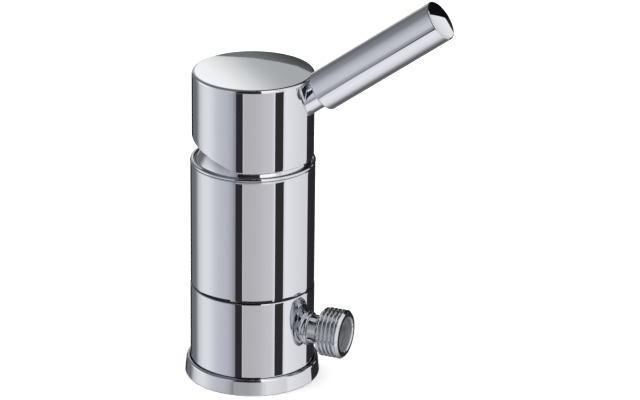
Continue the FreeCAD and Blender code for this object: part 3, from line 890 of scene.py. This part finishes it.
@dataclass
class LeverCap:
    """The cap over the cartridge, cut obliquely at the back, with its boss and its neck."""

    line: LeverLine = LeverLine()
    foot: float = 99.3
    radius: float = 25.66
    crown: float = 0.12
    rim_rounding: float = 1.3
    roll_width: float = 1.8
    roll_drop: float = 0.04
    wall: float = 1.6
    top_thickness: float = 3.0
    boss: float = 8.0
    boss_foot: float = 104.5
    boss_rounding: float = 0.4
    ceiling_rounding: float = 1.0
    ceiling_margin: float = 0.2
    relief_angle: float = 18.0
    relief_start: float = 2.0
    overcut: float = 3.0
    skirt_rounding: float = 0.25
    neck: float = 6.1
    neck_land: float = 1.0
    neck_row: float = 0.5
    neck_rows: int = 4
    neck_steps: int = 128
    root_flare: float = 0.45
    root_parts: int = 8
    crown_parts: int = 20

    def build(self) -> None:
        """Turns the cap and its hollow, cuts the skirt, closes it and adds the neck."""
        mesh = turned(self.outside(), self.inside(), closed=False)
        for face in mesh.faces:
            face.material_index = int(self.faces_inwards(face))
        self.cut_skirt(mesh)
        bmesh.ops.rotate(mesh, cent=(0, 0, 0), matrix=Matrix.Rotation(self.line.swivel(), 3, "Z"),
                         verts=mesh.verts[:])
        self.add_neck(mesh)
        finishes = [POLISHED_CHROME, UNPOLISHED_PLATE]
        make_piece("cap_and_neck", mesh, finishes, Body.LEVER, "lever_cap")

    def outside(self) -> list[Corner]:
        """The outline of the crowned top, the rim and the wall."""
        top = top_of("lever_cap")
        shares = [i / self.crown_parts for i in range(self.crown_parts)]
        crown = [Corner(self.radius * share, top - self.crown * share ** 2) for share in shares]
        edge = Corner(self.radius, top - self.crown, self.rim_rounding)
        skirt = rolled_edge(self.radius, self.foot, -self.roll_width, self.roll_drop)
        return [*crown, edge, *skirt, Corner(self.radius - self.roll_drop, self.foot - self.overcut)]

    def inside(self) -> list[Corner]:
        """The outline of the boss, the ceiling and the inner wall."""
        ceiling = top_of("lever_cap") - self.top_thickness
        hollow = self.radius - self.wall
        return [
            Corner(0, self.boss_foot), Corner(self.boss, self.boss_foot, self.boss_rounding),
            Corner(self.boss, ceiling, self.ceiling_rounding),
            Corner(hollow, ceiling, self.ceiling_rounding), Corner(hollow, self.foot - self.overcut),
        ]

    def faces_inwards(self, face: bmesh.types.BMFace) -> bool:
        """Whether a face belongs to the hollow."""
        centre = face.calc_center_median()
        radius = math.hypot(centre.x, centre.y) / MM
        below_top = centre.z / MM < top_of("lever_cap") - self.top_thickness + self.ceiling_margin
        return radius < self.radius - self.wall / 2 and below_top

    def cut_skirt(self, mesh: bmesh.types.BMesh) -> None:
        """Cuts the foot level in front and rising at the back, then closes and rounds the skirt.

        Args:
            mesh: the two open shells of the cap.
        """
        cut_below(mesh, Vector((0, 0, self.foot * MM)), Vector((0, 0, 1)))
        lean = math.radians(self.relief_angle)
        hinge = Vector((self.relief_start * MM, 0, self.foot * MM))
        cut_below(mesh, hinge, Vector((math.sin(lean), 0, math.cos(lean))))
        rims = [e for e in mesh.edges if e.is_boundary]
        closed = bmesh.ops.bridge_loops(mesh, edges=rims)
        for face in closed["faces"]:
            face.material_index = 0
        bmesh.ops.recalc_face_normals(mesh, faces=mesh.faces[:])
        bmesh.ops.bevel(mesh, geom=rims, offset=self.skirt_rounding * MM, offset_type="OFFSET",
                        segments=Edge.COARSE.value, profile=0.5, affect="EDGES", material=-1)

    def add_neck(self, mesh: bmesh.types.BMesh) -> None:
        """Adds the neck, whose root flares on to the cap's wall.

        The rows of the root are turned a millimetre apart, so that each is known by its height. They are
        then moved along the lever to the wall.

        Args:
            mesh: the cap, to which the neck is added.
        """
        sunk = self.radius - self.wall / 2
        end, first_row = self.line.shoulder, sunk - 1
        shaft = [Corner(0, end), Corner(self.neck, end)]
        first = end - self.neck_land
        shaft += [Corner(self.neck, first - i * self.neck_row) for i in range(self.neck_rows)]
        flare = [self.root_flare * (i / self.root_parts) ** 2 for i in range(self.root_parts + 1)]
        root = [Corner(self.neck + wider, first_row - i) for i, wider in enumerate(flare)]
        neck = turned([*shaft, *root, Corner(0, root[-1].height)], closed=False, steps=self.neck_steps,
                      longest=UNDIVIDED)
        base = self.line.matrix()
        along = (base.to_3x3() @ Vector((0, 0, 1))).normalized()
        for vert in neck.verts:
            radius, height = math.hypot(vert.co.x, vert.co.y) / MM, vert.co.z / MM
            if height > sunk or radius < NEAR:
                vert.co = base @ vert.co
                continue
            row = round(first_row - height)
            side = base @ Vector((vert.co.x, vert.co.y, 0))
            lift = self.root_flare * (1 - row / self.root_parts) ** 2
            vert.co = side + along * (self.wall_distance(side, along) + lift * MM)
        data = bpy.data.meshes.new("neck")
        bmesh.ops.recalc_face_normals(neck, faces=neck.faces[:])
        neck.to_mesh(data)
        neck.free()
        mesh.from_mesh(data)
        bpy.data.meshes.remove(data)

    def wall_distance(self, start: Vector, along: Vector) -> float:
        """How far along the lever a line from a point near the axis meets the cap's wall.

        Args:
            start: the point, in metres.
            along: direction of the line, of length one.

        Returns:
            The distance in metres.
        """
        a = along.x ** 2 + along.y ** 2
        b = start.x * along.x + start.y * along.y
        c = start.x ** 2 + start.y ** 2 - (self.radius * MM) ** 2
        return (-b + math.sqrt(b * b - a * c)) / a


@dataclass
class Grip:
    """The round rod of the lever."""

    line: LeverLine = LeverLine()
    length: float = 62.5
    radius: float = 8.72
    edge_rounding: float = 0.8
    end_rounding: float = 0.66
    end_crown: float = 0.22
    crown_parts: int = 12
    stud_hole: float = 4.05
    stud_depth: float = 16.0
    drill_point: float = 2.0
    longest_run: float = 3.0
    steps: int = 192

    def build(self) -> None:
        """Turns the rod with its slightly domed end and its stud hole, and lays it on the lever's line."""
        start = self.line.shoulder
        end, hole_end = start + self.length, start + self.stud_depth
        shares = [i / self.crown_parts for i in range(self.crown_parts)]
        section = [
            *[Corner(self.radius * share, end - self.end_crown * share ** 2) for share in shares],
            Corner(self.radius, end - self.end_crown, self.end_rounding),
            Corner(self.radius, start, self.edge_rounding), Corner(self.stud_hole, start),
            Corner(self.stud_hole, hole_end), Corner(0, hole_end + self.drill_point),
        ]
        mesh = turned(section, closed=False, steps=self.steps, longest=self.longest_run)
        mesh.transform(self.line.matrix())
        make_piece("lever_rod", mesh, [POLISHED_CHROME], Body.LEVER, "lever_grip")


@dataclass
class Inside:
    """The pieces that keep the frame's meshes: seals, plastics, ceramics and the brass of the cartridge."""

    finishes: dict[str, Finish] = field(default_factory=lambda: {
        "base_gasket": MOULDED_RUBBER, "sleeve_ring": MOULDED_NYLON, "sleeve_o_rings": MOULDED_RUBBER,
        "outlet_o_ring": MOULDED_RUBBER, "cartridge_base": FILLED_PLASTIC, "port_seals": MOULDED_RUBBER,
        "disc_seals": MOULDED_RUBBER, "fixed_disc": LAPPED_ALUMINA, "glide_ring": ACETAL,
        "cartridge_housing": FILLED_PLASTIC, "retaining_nut": TURNED_BRASS, "cartridge_rotor": ACETAL,
        "pivot_pin": TURNED_STEEL, "moving_disc": LAPPED_ALUMINA, "disc_carrier": ACETAL,
        "cartridge_stem": TURNED_BRASS, "stem_screw": TURNED_STEEL, "lever_stud": TURNED_STEEL,
    })

    def build(self) -> None:
        """Gives each kept node its finish."""
        for name, finish in self.finishes.items():
            node = frame["nodes"][name]
            for place in node.material_slots:
                place.material = finish.material()
            log.info("%s: finished as %s", name, finish.name)


@dataclass(frozen=True)
class Tone:
    """The colour of a card at one azimuth, and how much of what is behind it the card covers there."""

    at: float
    colour: str
    cover: float = 1.0


@dataclass(frozen=True)
class Card:
    """A curved panel or flag round the tap that only reflections see.

    Azimuths are degrees to the right of the camera's own direction, elevations degrees above the level of
    the studio's target. The tones run along the azimuth. A roll leans them over, about the card's middle at
    the roll's height. A fade dissolves the foot or the head. A cut is a row of points, each an azimuth and
    an elevation: what lies under the straight lines through each two neighbours is trimmed off. A higher
    layer hangs nearer to the tap and hides what is behind it.
    """

    name: str
    start: float
    end: float
    foot: float
    head: float
    tones: tuple[Tone, ...]
    layer: int = 0
    roll: float = 0.0
    roll_height: float = 0.0
    foot_fade: float = 0.0
    head_fade: float = 0.0
    cut: tuple[tuple[float, float], ...] = ()

    @property
    def centre(self) -> float:
        """Azimuth of the card's middle."""
        return (self.start + self.end) / 2

    @property
    def see_through(self) -> bool:
        """Whether any of the card lets what is behind it show."""
        return bool(self.foot_fade or self.head_fade) or any(t.cover < 1 for t in self.tones)


def plain(colour: str) -> tuple[Tone, ...]:
    """The tones of a card of one colour."""
    return (Tone(0, colour),)


# The walls and the ceiling of the studio: a dim grey that the cards stand out from.
ROOM = Card("room", -220, 140, -90, 90, (
    Tone(-200, "#5E6064"), Tone(-150, "#66686E"), Tone(-128, "#6A6C72"), Tone(-90, "#6C6E74"),
    Tone(-64, "#8C8F96"), Tone(-44, "#989A9E"), Tone(-30, "#7C7C80"), Tone(0, "#98999E"),
    Tone(100, "#98999E"), Tone(140, "#5E6064")))
# White paper on the table in front of the tap, darker towards the back.
TABLE = Card("table_sweep", -220, 140, -90, -29.4, (
    Tone(-220, "#5A5A5E"), Tone(-215, "#505054"), Tone(-210, "#56565A"), Tone(-204, "#717175"),
    Tone(-197, "#6C6C70"), Tone(-192, "#5F5F63"), Tone(-180, "#606064"), Tone(-110, "#6E7074"),
    Tone(-56, "#7E8284"), Tone(-44, "#A0A3A8"), Tone(-33, "#D8D8DF"), Tone(-16, "#E4E3EA"),
    Tone(8, "#D8D7DC"), Tone(40, "#C8C7CC"), Tone(70, "#B4B3B8"), Tone(100, "#949398"),
    Tone(130, "#76767A"), Tone(140, "#626266")),
    layer=1)
# A large softbox on the left. Its light falls off to both sides and upwards.
LEFT_SOFTBOX = Card("left_softbox", -132, -31, -40, 31, (
    Tone(-132, "#9A9CA0", 0.0), Tone(-118, "#C0C1C6"), Tone(-104, "#D8D9DE"), Tone(-92, "#DADBE0"),
    Tone(-81, "#CFD0D5"), Tone(-72, "#C2C3C8"), Tone(-63, "#B8BBC1"), Tone(-50, "#B2B4BD"),
    Tone(-40, "#A5A6AD"), Tone(-34, "#8A8B90")),
    layer=2, foot_fade=10, head_fade=20)
# A narrow brighter light in front of it.
LEFT_STRIP = Card("left_strip_light", -120, -80, -12, 8, (
    Tone(-120, "#F8F8FA", 0.0), Tone(-110, "#F8F8FA"), Tone(-90, "#F8F8FA"), Tone(-80, "#F8F8FA", 0.0)),
    layer=3, foot_fade=4, head_fade=4)
# A weak fill light between them and the camera.
FILL_LIGHT = Card("fill_light", -68, -33, -14, 15, (
    Tone(-68, "#BFC1C9", 0.0), Tone(-58, "#BFC1C9"), Tone(-40, "#BFC0C8"), Tone(-33, "#BFC0C8", 0.4)),
    layer=3, foot_fade=5, head_fade=9)
# A tall softbox on the right, with a brighter window beside its upper part.
RIGHT_SOFTBOX = Card("right_softbox", 10, 121.5, -36, 90, (
    Tone(22, "#DEDDE2"), Tone(59, "#CECDD2"), Tone(64, "#E0DFE4"), Tone(88, "#D8D7DC"),
    Tone(111, "#D0CFD3"), Tone(121, "#D0CFD3")),
    layer=2)
WINDOW = Card("window", 8, 49, 20, 82, plain("#F8F8F8"), layer=3)
# The photographer's own side: a grey scrim with bright edges, and the lighter wall above it.
FRONT_SCRIM = Card("front_scrim", -18.9, 41.8, -34, -17.5, (
    Tone(-18.8, "#C8C7CB"), Tone(-17.9, "#C2C1C5"), Tone(-16.9, "#AFAEB2"), Tone(0, "#B2B1B5"),
    Tone(13, "#B6B5B9"), Tone(21, "#BCBBBF"), Tone(35, "#C1C0C5"), Tone(39.6, "#CBCACE"),
    Tone(41.8, "#E8E7EB")),
    layer=3)
FRONT_WALL = Card("front_wall", -31, 24, -17.5, -12.5, (
    Tone(-30, "#9D9DA2"), Tone(-8, "#9C9CA0"), Tone(2, "#A5A5A8"), Tone(12, "#B2B2B5"),
    Tone(20, "#D2D2D5")), layer=3)
# A black edge between the table and the lights, in three lengths, which draws the dark line at the foot of
# the casting.
TABLE_EDGE_LEFT = Card("table_edge_left", -150, -42, -29.4, -26.5, plain("#2A2A2D"), layer=5)
TABLE_EDGE_FRONT = Card("table_edge_front", -27, 38.5, -29.4, -26.5, plain("#2A2A2D"), layer=5)
TABLE_EDGE_RIGHT = Card("table_edge_right", 43, 121, -29.4, -26.5, plain("#2A2A2D"), layer=5)
# Dark flags that draw the black lines down the plate.
LEFT_FLAG = Card("left_flag", -32, -18.9, -29, -17.5, plain("#2A2A2D"), layer=4)
RIGHT_FLAG = Card("right_flag", 41.8, 58.9, -30, -17.5, plain("#2D2C2F"), layer=4)
OVERHEAD_FLAG = Card("overhead_flag", -32, 40, -12.5, 85, (
    Tone(-30, "#1C1B20"), Tone(5, "#28282A"), Tone(17, "#34343A")), layer=4, cut=((14, 22), (23, 60)))
FRONT_FLAG = Card("front_flag", 9, 15.6, -12.5, 22, plain("#2A2A2D"), layer=4)
BACK_FLAG = Card("back_flag", 121.5, 190, -36, 70, (
    Tone(126, "#2A2A2C"), Tone(150, "#252528"), Tone(165, "#2E2F32"), Tone(176, "#3C3F42"),
    Tone(182, "#6E7174"), Tone(190, "#74767A")), layer=3)
BACK_LEFT_FLAG = Card("back_left_flag", -180, -153, -36, -12, plain("#2A2A2E"), layer=5)
# A flag straight overhead, which keeps the upper turn of the rims dark.
ZENITH_FLAG = Card("zenith_flag", 36, 200, 82.5, 90, plain("#2A2A2D"), layer=4)
# A darker cloth over the left side, which the rims mirror.
TOP_FLAG = Card("top_flag", -128, -32, 42, 88, (
    Tone(-128, "#5A5C60", 0.0), Tone(-112, "#5A5C60"), Tone(-70, "#55575B"), Tone(-32, "#48494D")),
    layer=4, foot_fade=9)
# A pale reflector low behind the tap on the left, and the softbox behind it that the cap's top mirrors.
REFLECTOR = Card("reflector", -178, -158, -15, 12, plain("#B4B4BA"), layer=4)
BACK_SOFTBOX = Card("back_softbox", 170, 190, 12, 21.3, (
    Tone(179.35, "#A3A6A7"), Tone(179.54, "#A6A9AA"), Tone(179.73, "#AAADAE"), Tone(179.91, "#B3B5B6"),
    Tone(180.09, "#BEC0C1"), Tone(180.27, "#CCCDCE"), Tone(180.46, "#D6D7D8"), Tone(180.63, "#DFE0E0"),
    Tone(180.82, "#E7E8E8"), Tone(181.0, "#EDEDED"), Tone(181.3, "#F1F1F1")),
    layer=5, roll=-21, roll_height=19.54,
    cut=((178.66, 19.5), (178.9, 19.2), (179.35, 18.93), (180.0, 18.65), (180.9, 18.5)))
# Grey cloth beside that softbox, which the left ends of the rims mirror.
BACK_CLOTH = Card("back_cloth", 182.4, 204, 12, 40, plain("#A2A2AA"), layer=6)
# A dark grey screen behind that softbox, which draws the dark crescent on the far side of the cap.
BACK_SCREEN = Card("back_screen", 172, 188, 12, 20.5, (
    Tone(179.0, "#424447"), Tone(179.17, "#4E5053"), Tone(179.34, "#595C5E"), Tone(179.51, "#636668"),
    Tone(179.68, "#696C6E"), Tone(179.84, "#6C6F71")),
    layer=4, roll=-37, roll_height=19.0)
# A small light and a black card before it, which the end of the lever mirrors.
END_LIGHT = Card("end_light", 130, 139.4, 1, 17, (Tone(132, "#D2D2D5"), Tone(138, "#E6E6E9")), layer=4,
                 cut=((138.0, 5.3), (139.2, 7.0)))
END_BLACK = Card("end_black", 129, 147, -1, 19, plain("#0E0E11"), layer=5,
                 cut=((139.5, 7.6), (132.5, 14.8)))


@dataclass
class Studio:
    """The camera, the pale floor, the soft light and the cards that the plate reflects.

    Lengths are in metres, but the floor's drop, the paper's fibre and the sensor are in millimetres. Angles
    are in degrees.
    """

    azimuth: float = 24.0
    elevation: float = 21.954
    roll: float = 0.207
    distance: float = 1.4
    target: Vector = field(default_factory=lambda: Vector((0, 0, 0.07)))
    focal_pixels: float = 3316.6
    picture_width: int = 640
    picture_height: int = 400
    target_pixel: tuple[float, float] = (252.69, 217.05)
    sensor: float = 36.0
    clip: tuple[float, float] = (0.01, 50.0)
    sky_strength: float = 1.6
    floor_size: float = 6.0
    floor_drop: float = 0.1
    paper: tuple[str, str] = ("#FCFCFC", "#FFFFFF")
    paper_fibre: float = 2.0
    card_radius: float = 40.0
    layer_step: float = 0.5
    card_step: float = 4.0
    steepest: float = 89.9
    plate_reflects: float = 0.81
    cards: tuple[Card, ...] = (
        ROOM, TABLE, TABLE_EDGE_LEFT, TABLE_EDGE_FRONT, TABLE_EDGE_RIGHT, LEFT_SOFTBOX, LEFT_STRIP,
        FILL_LIGHT, RIGHT_SOFTBOX, WINDOW, FRONT_SCRIM, FRONT_WALL, LEFT_FLAG, RIGHT_FLAG, OVERHEAD_FLAG,
        FRONT_FLAG, ZENITH_FLAG, TOP_FLAG, BACK_FLAG, BACK_LEFT_FLAG, REFLECTOR, BACK_SCREEN, BACK_SOFTBOX,
        BACK_CLOTH, END_LIGHT, END_BLACK,
    )

    def away(self) -> Vector:
        """Direction from the tap to the camera."""
        return self.direction(0.0, self.elevation)

    def direction(self, azimuth: float, elevation: float) -> Vector:
        """A direction in the CAD frame.

        Args:
            azimuth: degrees to the right of the camera's own direction.
            elevation: degrees above the horizon.

        Returns:
            The direction, of length one.
        """
        turn, rise = math.radians(self.turn(azimuth)), math.radians(elevation)
        return Vector((math.cos(turn) * math.cos(rise), math.sin(turn) * math.cos(rise), math.sin(rise)))

    def turn(self, azimuth: float) -> float:
        """Angle from +X, in degrees, of an azimuth that is counted from the camera's direction."""
        return azimuth + self.azimuth - 90

    def add_camera(self) -> None:
        """Places the camera at the photograph's viewing angle."""
        data = bpy.data.cameras.new("camera")
        data.sensor_width = self.sensor
        data.lens = self.focal_pixels / self.picture_width * self.sensor
        data.shift_x = (self.picture_width / 2 - self.target_pixel[0]) / self.picture_width
        data.shift_y = (self.target_pixel[1] - self.picture_height / 2) / self.picture_width
        data.clip_start, data.clip_end = self.clip
        camera = bpy.data.objects.new("camera", data)
        aim = (-self.away()).to_track_quat("-Z", "Y").to_matrix().to_4x4()
        tip = Matrix.Rotation(math.radians(self.roll), 4, "Z")
        camera.matrix_world = Matrix.Translation(self.target + self.away() * self.distance) @ aim @ tip
        bpy.context.scene.collection.objects.link(camera)
        bpy.context.scene.camera = camera

    def add_floor(self) -> None:
        """Lays the pale floor, which reflections pass through to the cards."""
        mesh = bmesh.new()
        bmesh.ops.create_grid(mesh, x_segments=1, y_segments=1, size=self.floor_size)
        bmesh.ops.translate(mesh, vec=(0, 0, -self.floor_drop * MM), verts=mesh.verts[:])
        material = new_material("pale_studio_paper")
        tree = material.node_tree
        place = add_node(tree, "ShaderNodeTexCoord")
        fibre = add_node(tree, "ShaderNodeTexNoise", {"Scale": grain(self.paper_fibre)},
                         {"Vector": (place, "Object")})
        tint = add_node(tree, "ShaderNodeValToRGB", links={"Fac": (fibre, "Fac")})
        for stop, colour in zip(tint.color_ramp.elements, self.paper):
            stop.color = linear(colour)
        paper = add_node(tree, "ShaderNodeBsdfDiffuse", links={"Color": (tint, "Color")})
        add_node(tree, "ShaderNodeOutputMaterial", links={"Surface": (paper, "BSDF")})
        floor = self.add_prop("floor", mesh, material)
        floor.visible_glossy = False

    def add_prop(self, name: str, mesh: bmesh.types.BMesh,
                 material: bpy.types.Material) -> bpy.types.Object:
        """Adds something that stands round the tap and isn't part of it.

        Args:
            name: its name.
            mesh: its mesh, which is freed here.
            material: its only material.

        Returns:
            The new object.
        """
        prop = new_object(name, mesh, [material])
        return prop

    def add_light(self) -> None:
        """Lights the floor and the dull pieces softly from all round."""
        world = bpy.data.worlds.new("soft_light")
        world.use_nodes = True
        tree = world.node_tree
        tree.nodes.clear()
        sky = add_node(tree, "ShaderNodeBackground",
                       {"Color": (1.0, 1.0, 1.0, 1.0), "Strength": self.sky_strength})
        add_node(tree, "ShaderNodeOutputWorld", links={"Surface": (sky, "Background")})
        bpy.context.scene.world = world
        bpy.context.scene.view_settings.view_transform = "Standard"

    def add_card(self, card: Card) -> None:
        """Hangs one card at its place round the tap.

        Args:
            card: its place, size and tones.
        """
        wide = (self.card_radius - card.layer * self.layer_step) / MM
        low, high = max(card.foot, -self.steepest), min(card.head, self.steepest)
        parts = max(2, math.ceil((high - low) / self.card_step))
        mesh = bmesh.new()
        rib = arc((0.0, 0.0), wide, low, high, parts)
        outline = add_outline(mesh, rib, closed=False, longest=2 * wide)
        verts = {v for e in outline for v in e.verts}
        span = card.end - card.start
        bmesh.ops.spin(mesh, geom=[*verts, *outline], cent=(0, 0, 0), axis=(0, 0, 1), dvec=(0, 0, 0),
                       angle=math.radians(span), steps=math.ceil(span / self.card_step),
                       use_merge=span == 360)
        mesh.transform(Matrix.Rotation(math.radians(self.turn(card.start)), 4, "Z"))
        for ends in zip(card.cut, card.cut[1:]):
            first, second = (self.direction(*point) for point in ends)
            upwards = first.cross(second)
            upwards *= math.copysign(1.0, upwards.z)
            cut_below(mesh, Vector((0, 0, 0)), upwards)
        mesh.transform(Matrix.Translation(self.target))
        panel = self.add_prop(card.name, mesh, self.card_light(card))
        panel.visible_camera = panel.visible_diffuse = panel.visible_shadow = False
        panel.visible_transmission = panel.visible_volume_scatter = False

    def card_light(self, card: Card) -> bpy.types.Material:
        """The glow of a card, whose tones run along its azimuth.

        Args:
            card: the card.

        Returns:
            Its material.
        """
        material = new_material(card.name)
        tree = material.node_tree
        place = add_node(tree, "ShaderNodeTexCoord")
        lowered = add_node(tree, "ShaderNodeVectorMath", {"operation": "SUBTRACT", 1: self.target},
                           {0: (place, "Object")})
        lay = Matrix.Rotation(-math.radians(self.turn(card.centre)), 3, "Z")
        for angle, axis in ((card.roll_height, "Y"), (card.roll, "X")):
            lay = Matrix.Rotation(math.radians(angle), 3, axis) @ lay
        faced = add_node(tree, "ShaderNodeMapping", {"Rotation": lay.to_euler()},
                         {"Vector": (lowered, "Vector")})
        bearing = add_node(tree, "ShaderNodeTexGradient", {"gradient_type": "RADIAL"},
                           {"Vector": (faced, "Vector")})
        first, last = card.tones[0].at, max(card.tones[-1].at, card.tones[0].at + 1)
        share = add_node(tree, "ShaderNodeMapRange", {"From Min": 0.5 + (first - card.centre) / 360,
                                                      "From Max": 0.5 + (last - card.centre) / 360},
                         {"Value": (bearing, "Fac")})
        tones = add_node(tree, "ShaderNodeValToRGB", links={"Fac": (share, "Result")})
        stops = tones.color_ramp.elements
        stops.remove(stops[1])
        for i, tone in enumerate(card.tones):
            at = (tone.at - first) / (last - first)
            stop = stops[0] if i == 0 else stops.new(at)
            stop.position = at
            stop.color = (*linear(tone.colour)[:3], tone.cover)
        glow = add_node(tree, "ShaderNodeEmission", {"Strength": 1 / self.plate_reflects},
                        {"Color": (tones, "Color")})
        if card.see_through:
            glow = self.dissolve(tree, card, glow, lowered, tones)
        add_node(tree, "ShaderNodeOutputMaterial", links={"Surface": (glow, 0)})
        return material

    def dissolve(self, tree: bpy.types.NodeTree, card: Card, glow: bpy.types.Node, place: bpy.types.Node,
                 tones: bpy.types.Node) -> bpy.types.Node:
        """Lets what is behind a card show where the card fades out.

        Args:
            tree: the card's node tree.
            card: the card.
            glow: the node of its glow.
            place: the node that gives the place on the card from the middle of the tap.
            tones: the ramp whose alpha says how much the card covers.

        Returns:
            The node that mixes the glow with nothing.
        """
        length = add_node(tree, "ShaderNodeVectorMath", {"operation": "NORMALIZE"}, {0: (place, "Vector")})
        axes = add_node(tree, "ShaderNodeSeparateXYZ", links={"Vector": (length, "Vector")})
        rise = add_node(tree, "ShaderNodeMath", {"operation": "ARCSINE"}, {0: (axes, "Z")})
        cover = (tones, "Alpha")
        fades = ((card.foot, card.foot + card.foot_fade), (card.head, card.head - card.head_fade))
        for edge, inner in fades:
            if edge == inner:
                continue
            share = add_node(tree, "ShaderNodeMapRange", {"From Min": math.radians(edge),
                                                          "From Max": math.radians(inner)},
                             {"Value": (rise, "Value")})
            both = add_node(tree, "ShaderNodeMath", {"operation": "MULTIPLY"},
                            {0: cover, 1: (share, "Result")})
            cover = (both, "Value")
        clear = add_node(tree, "ShaderNodeBsdfTransparent")
        return add_node(tree, "ShaderNodeMixShader", links={0: cover, 1: (clear, "BSDF"), 2: (glow, 0)})

    def build(self) -> None:
        """Sets the whole studio up."""
        self.add_camera()
        self.add_floor()
        self.add_light()
        for card in self.cards:
            self.add_card(card)


def main() -> None:
    """Builds the tap from the deck upwards, then the studio."""
    logging.basicConfig(level=logging.INFO, format="%(name)s %(message)s")
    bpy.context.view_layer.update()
    parts: list[Callable[[], None]] = [
        Foot().build, LowerBody().build, Sleeve().build, TrimRing().build, Dome().build, HoseOutlet().build,
        LeverCap().build, Grip().build, Inside().build, Studio().build,
    ]
    for build in parts:
        build()


if __name__ == "__main__":
    main()
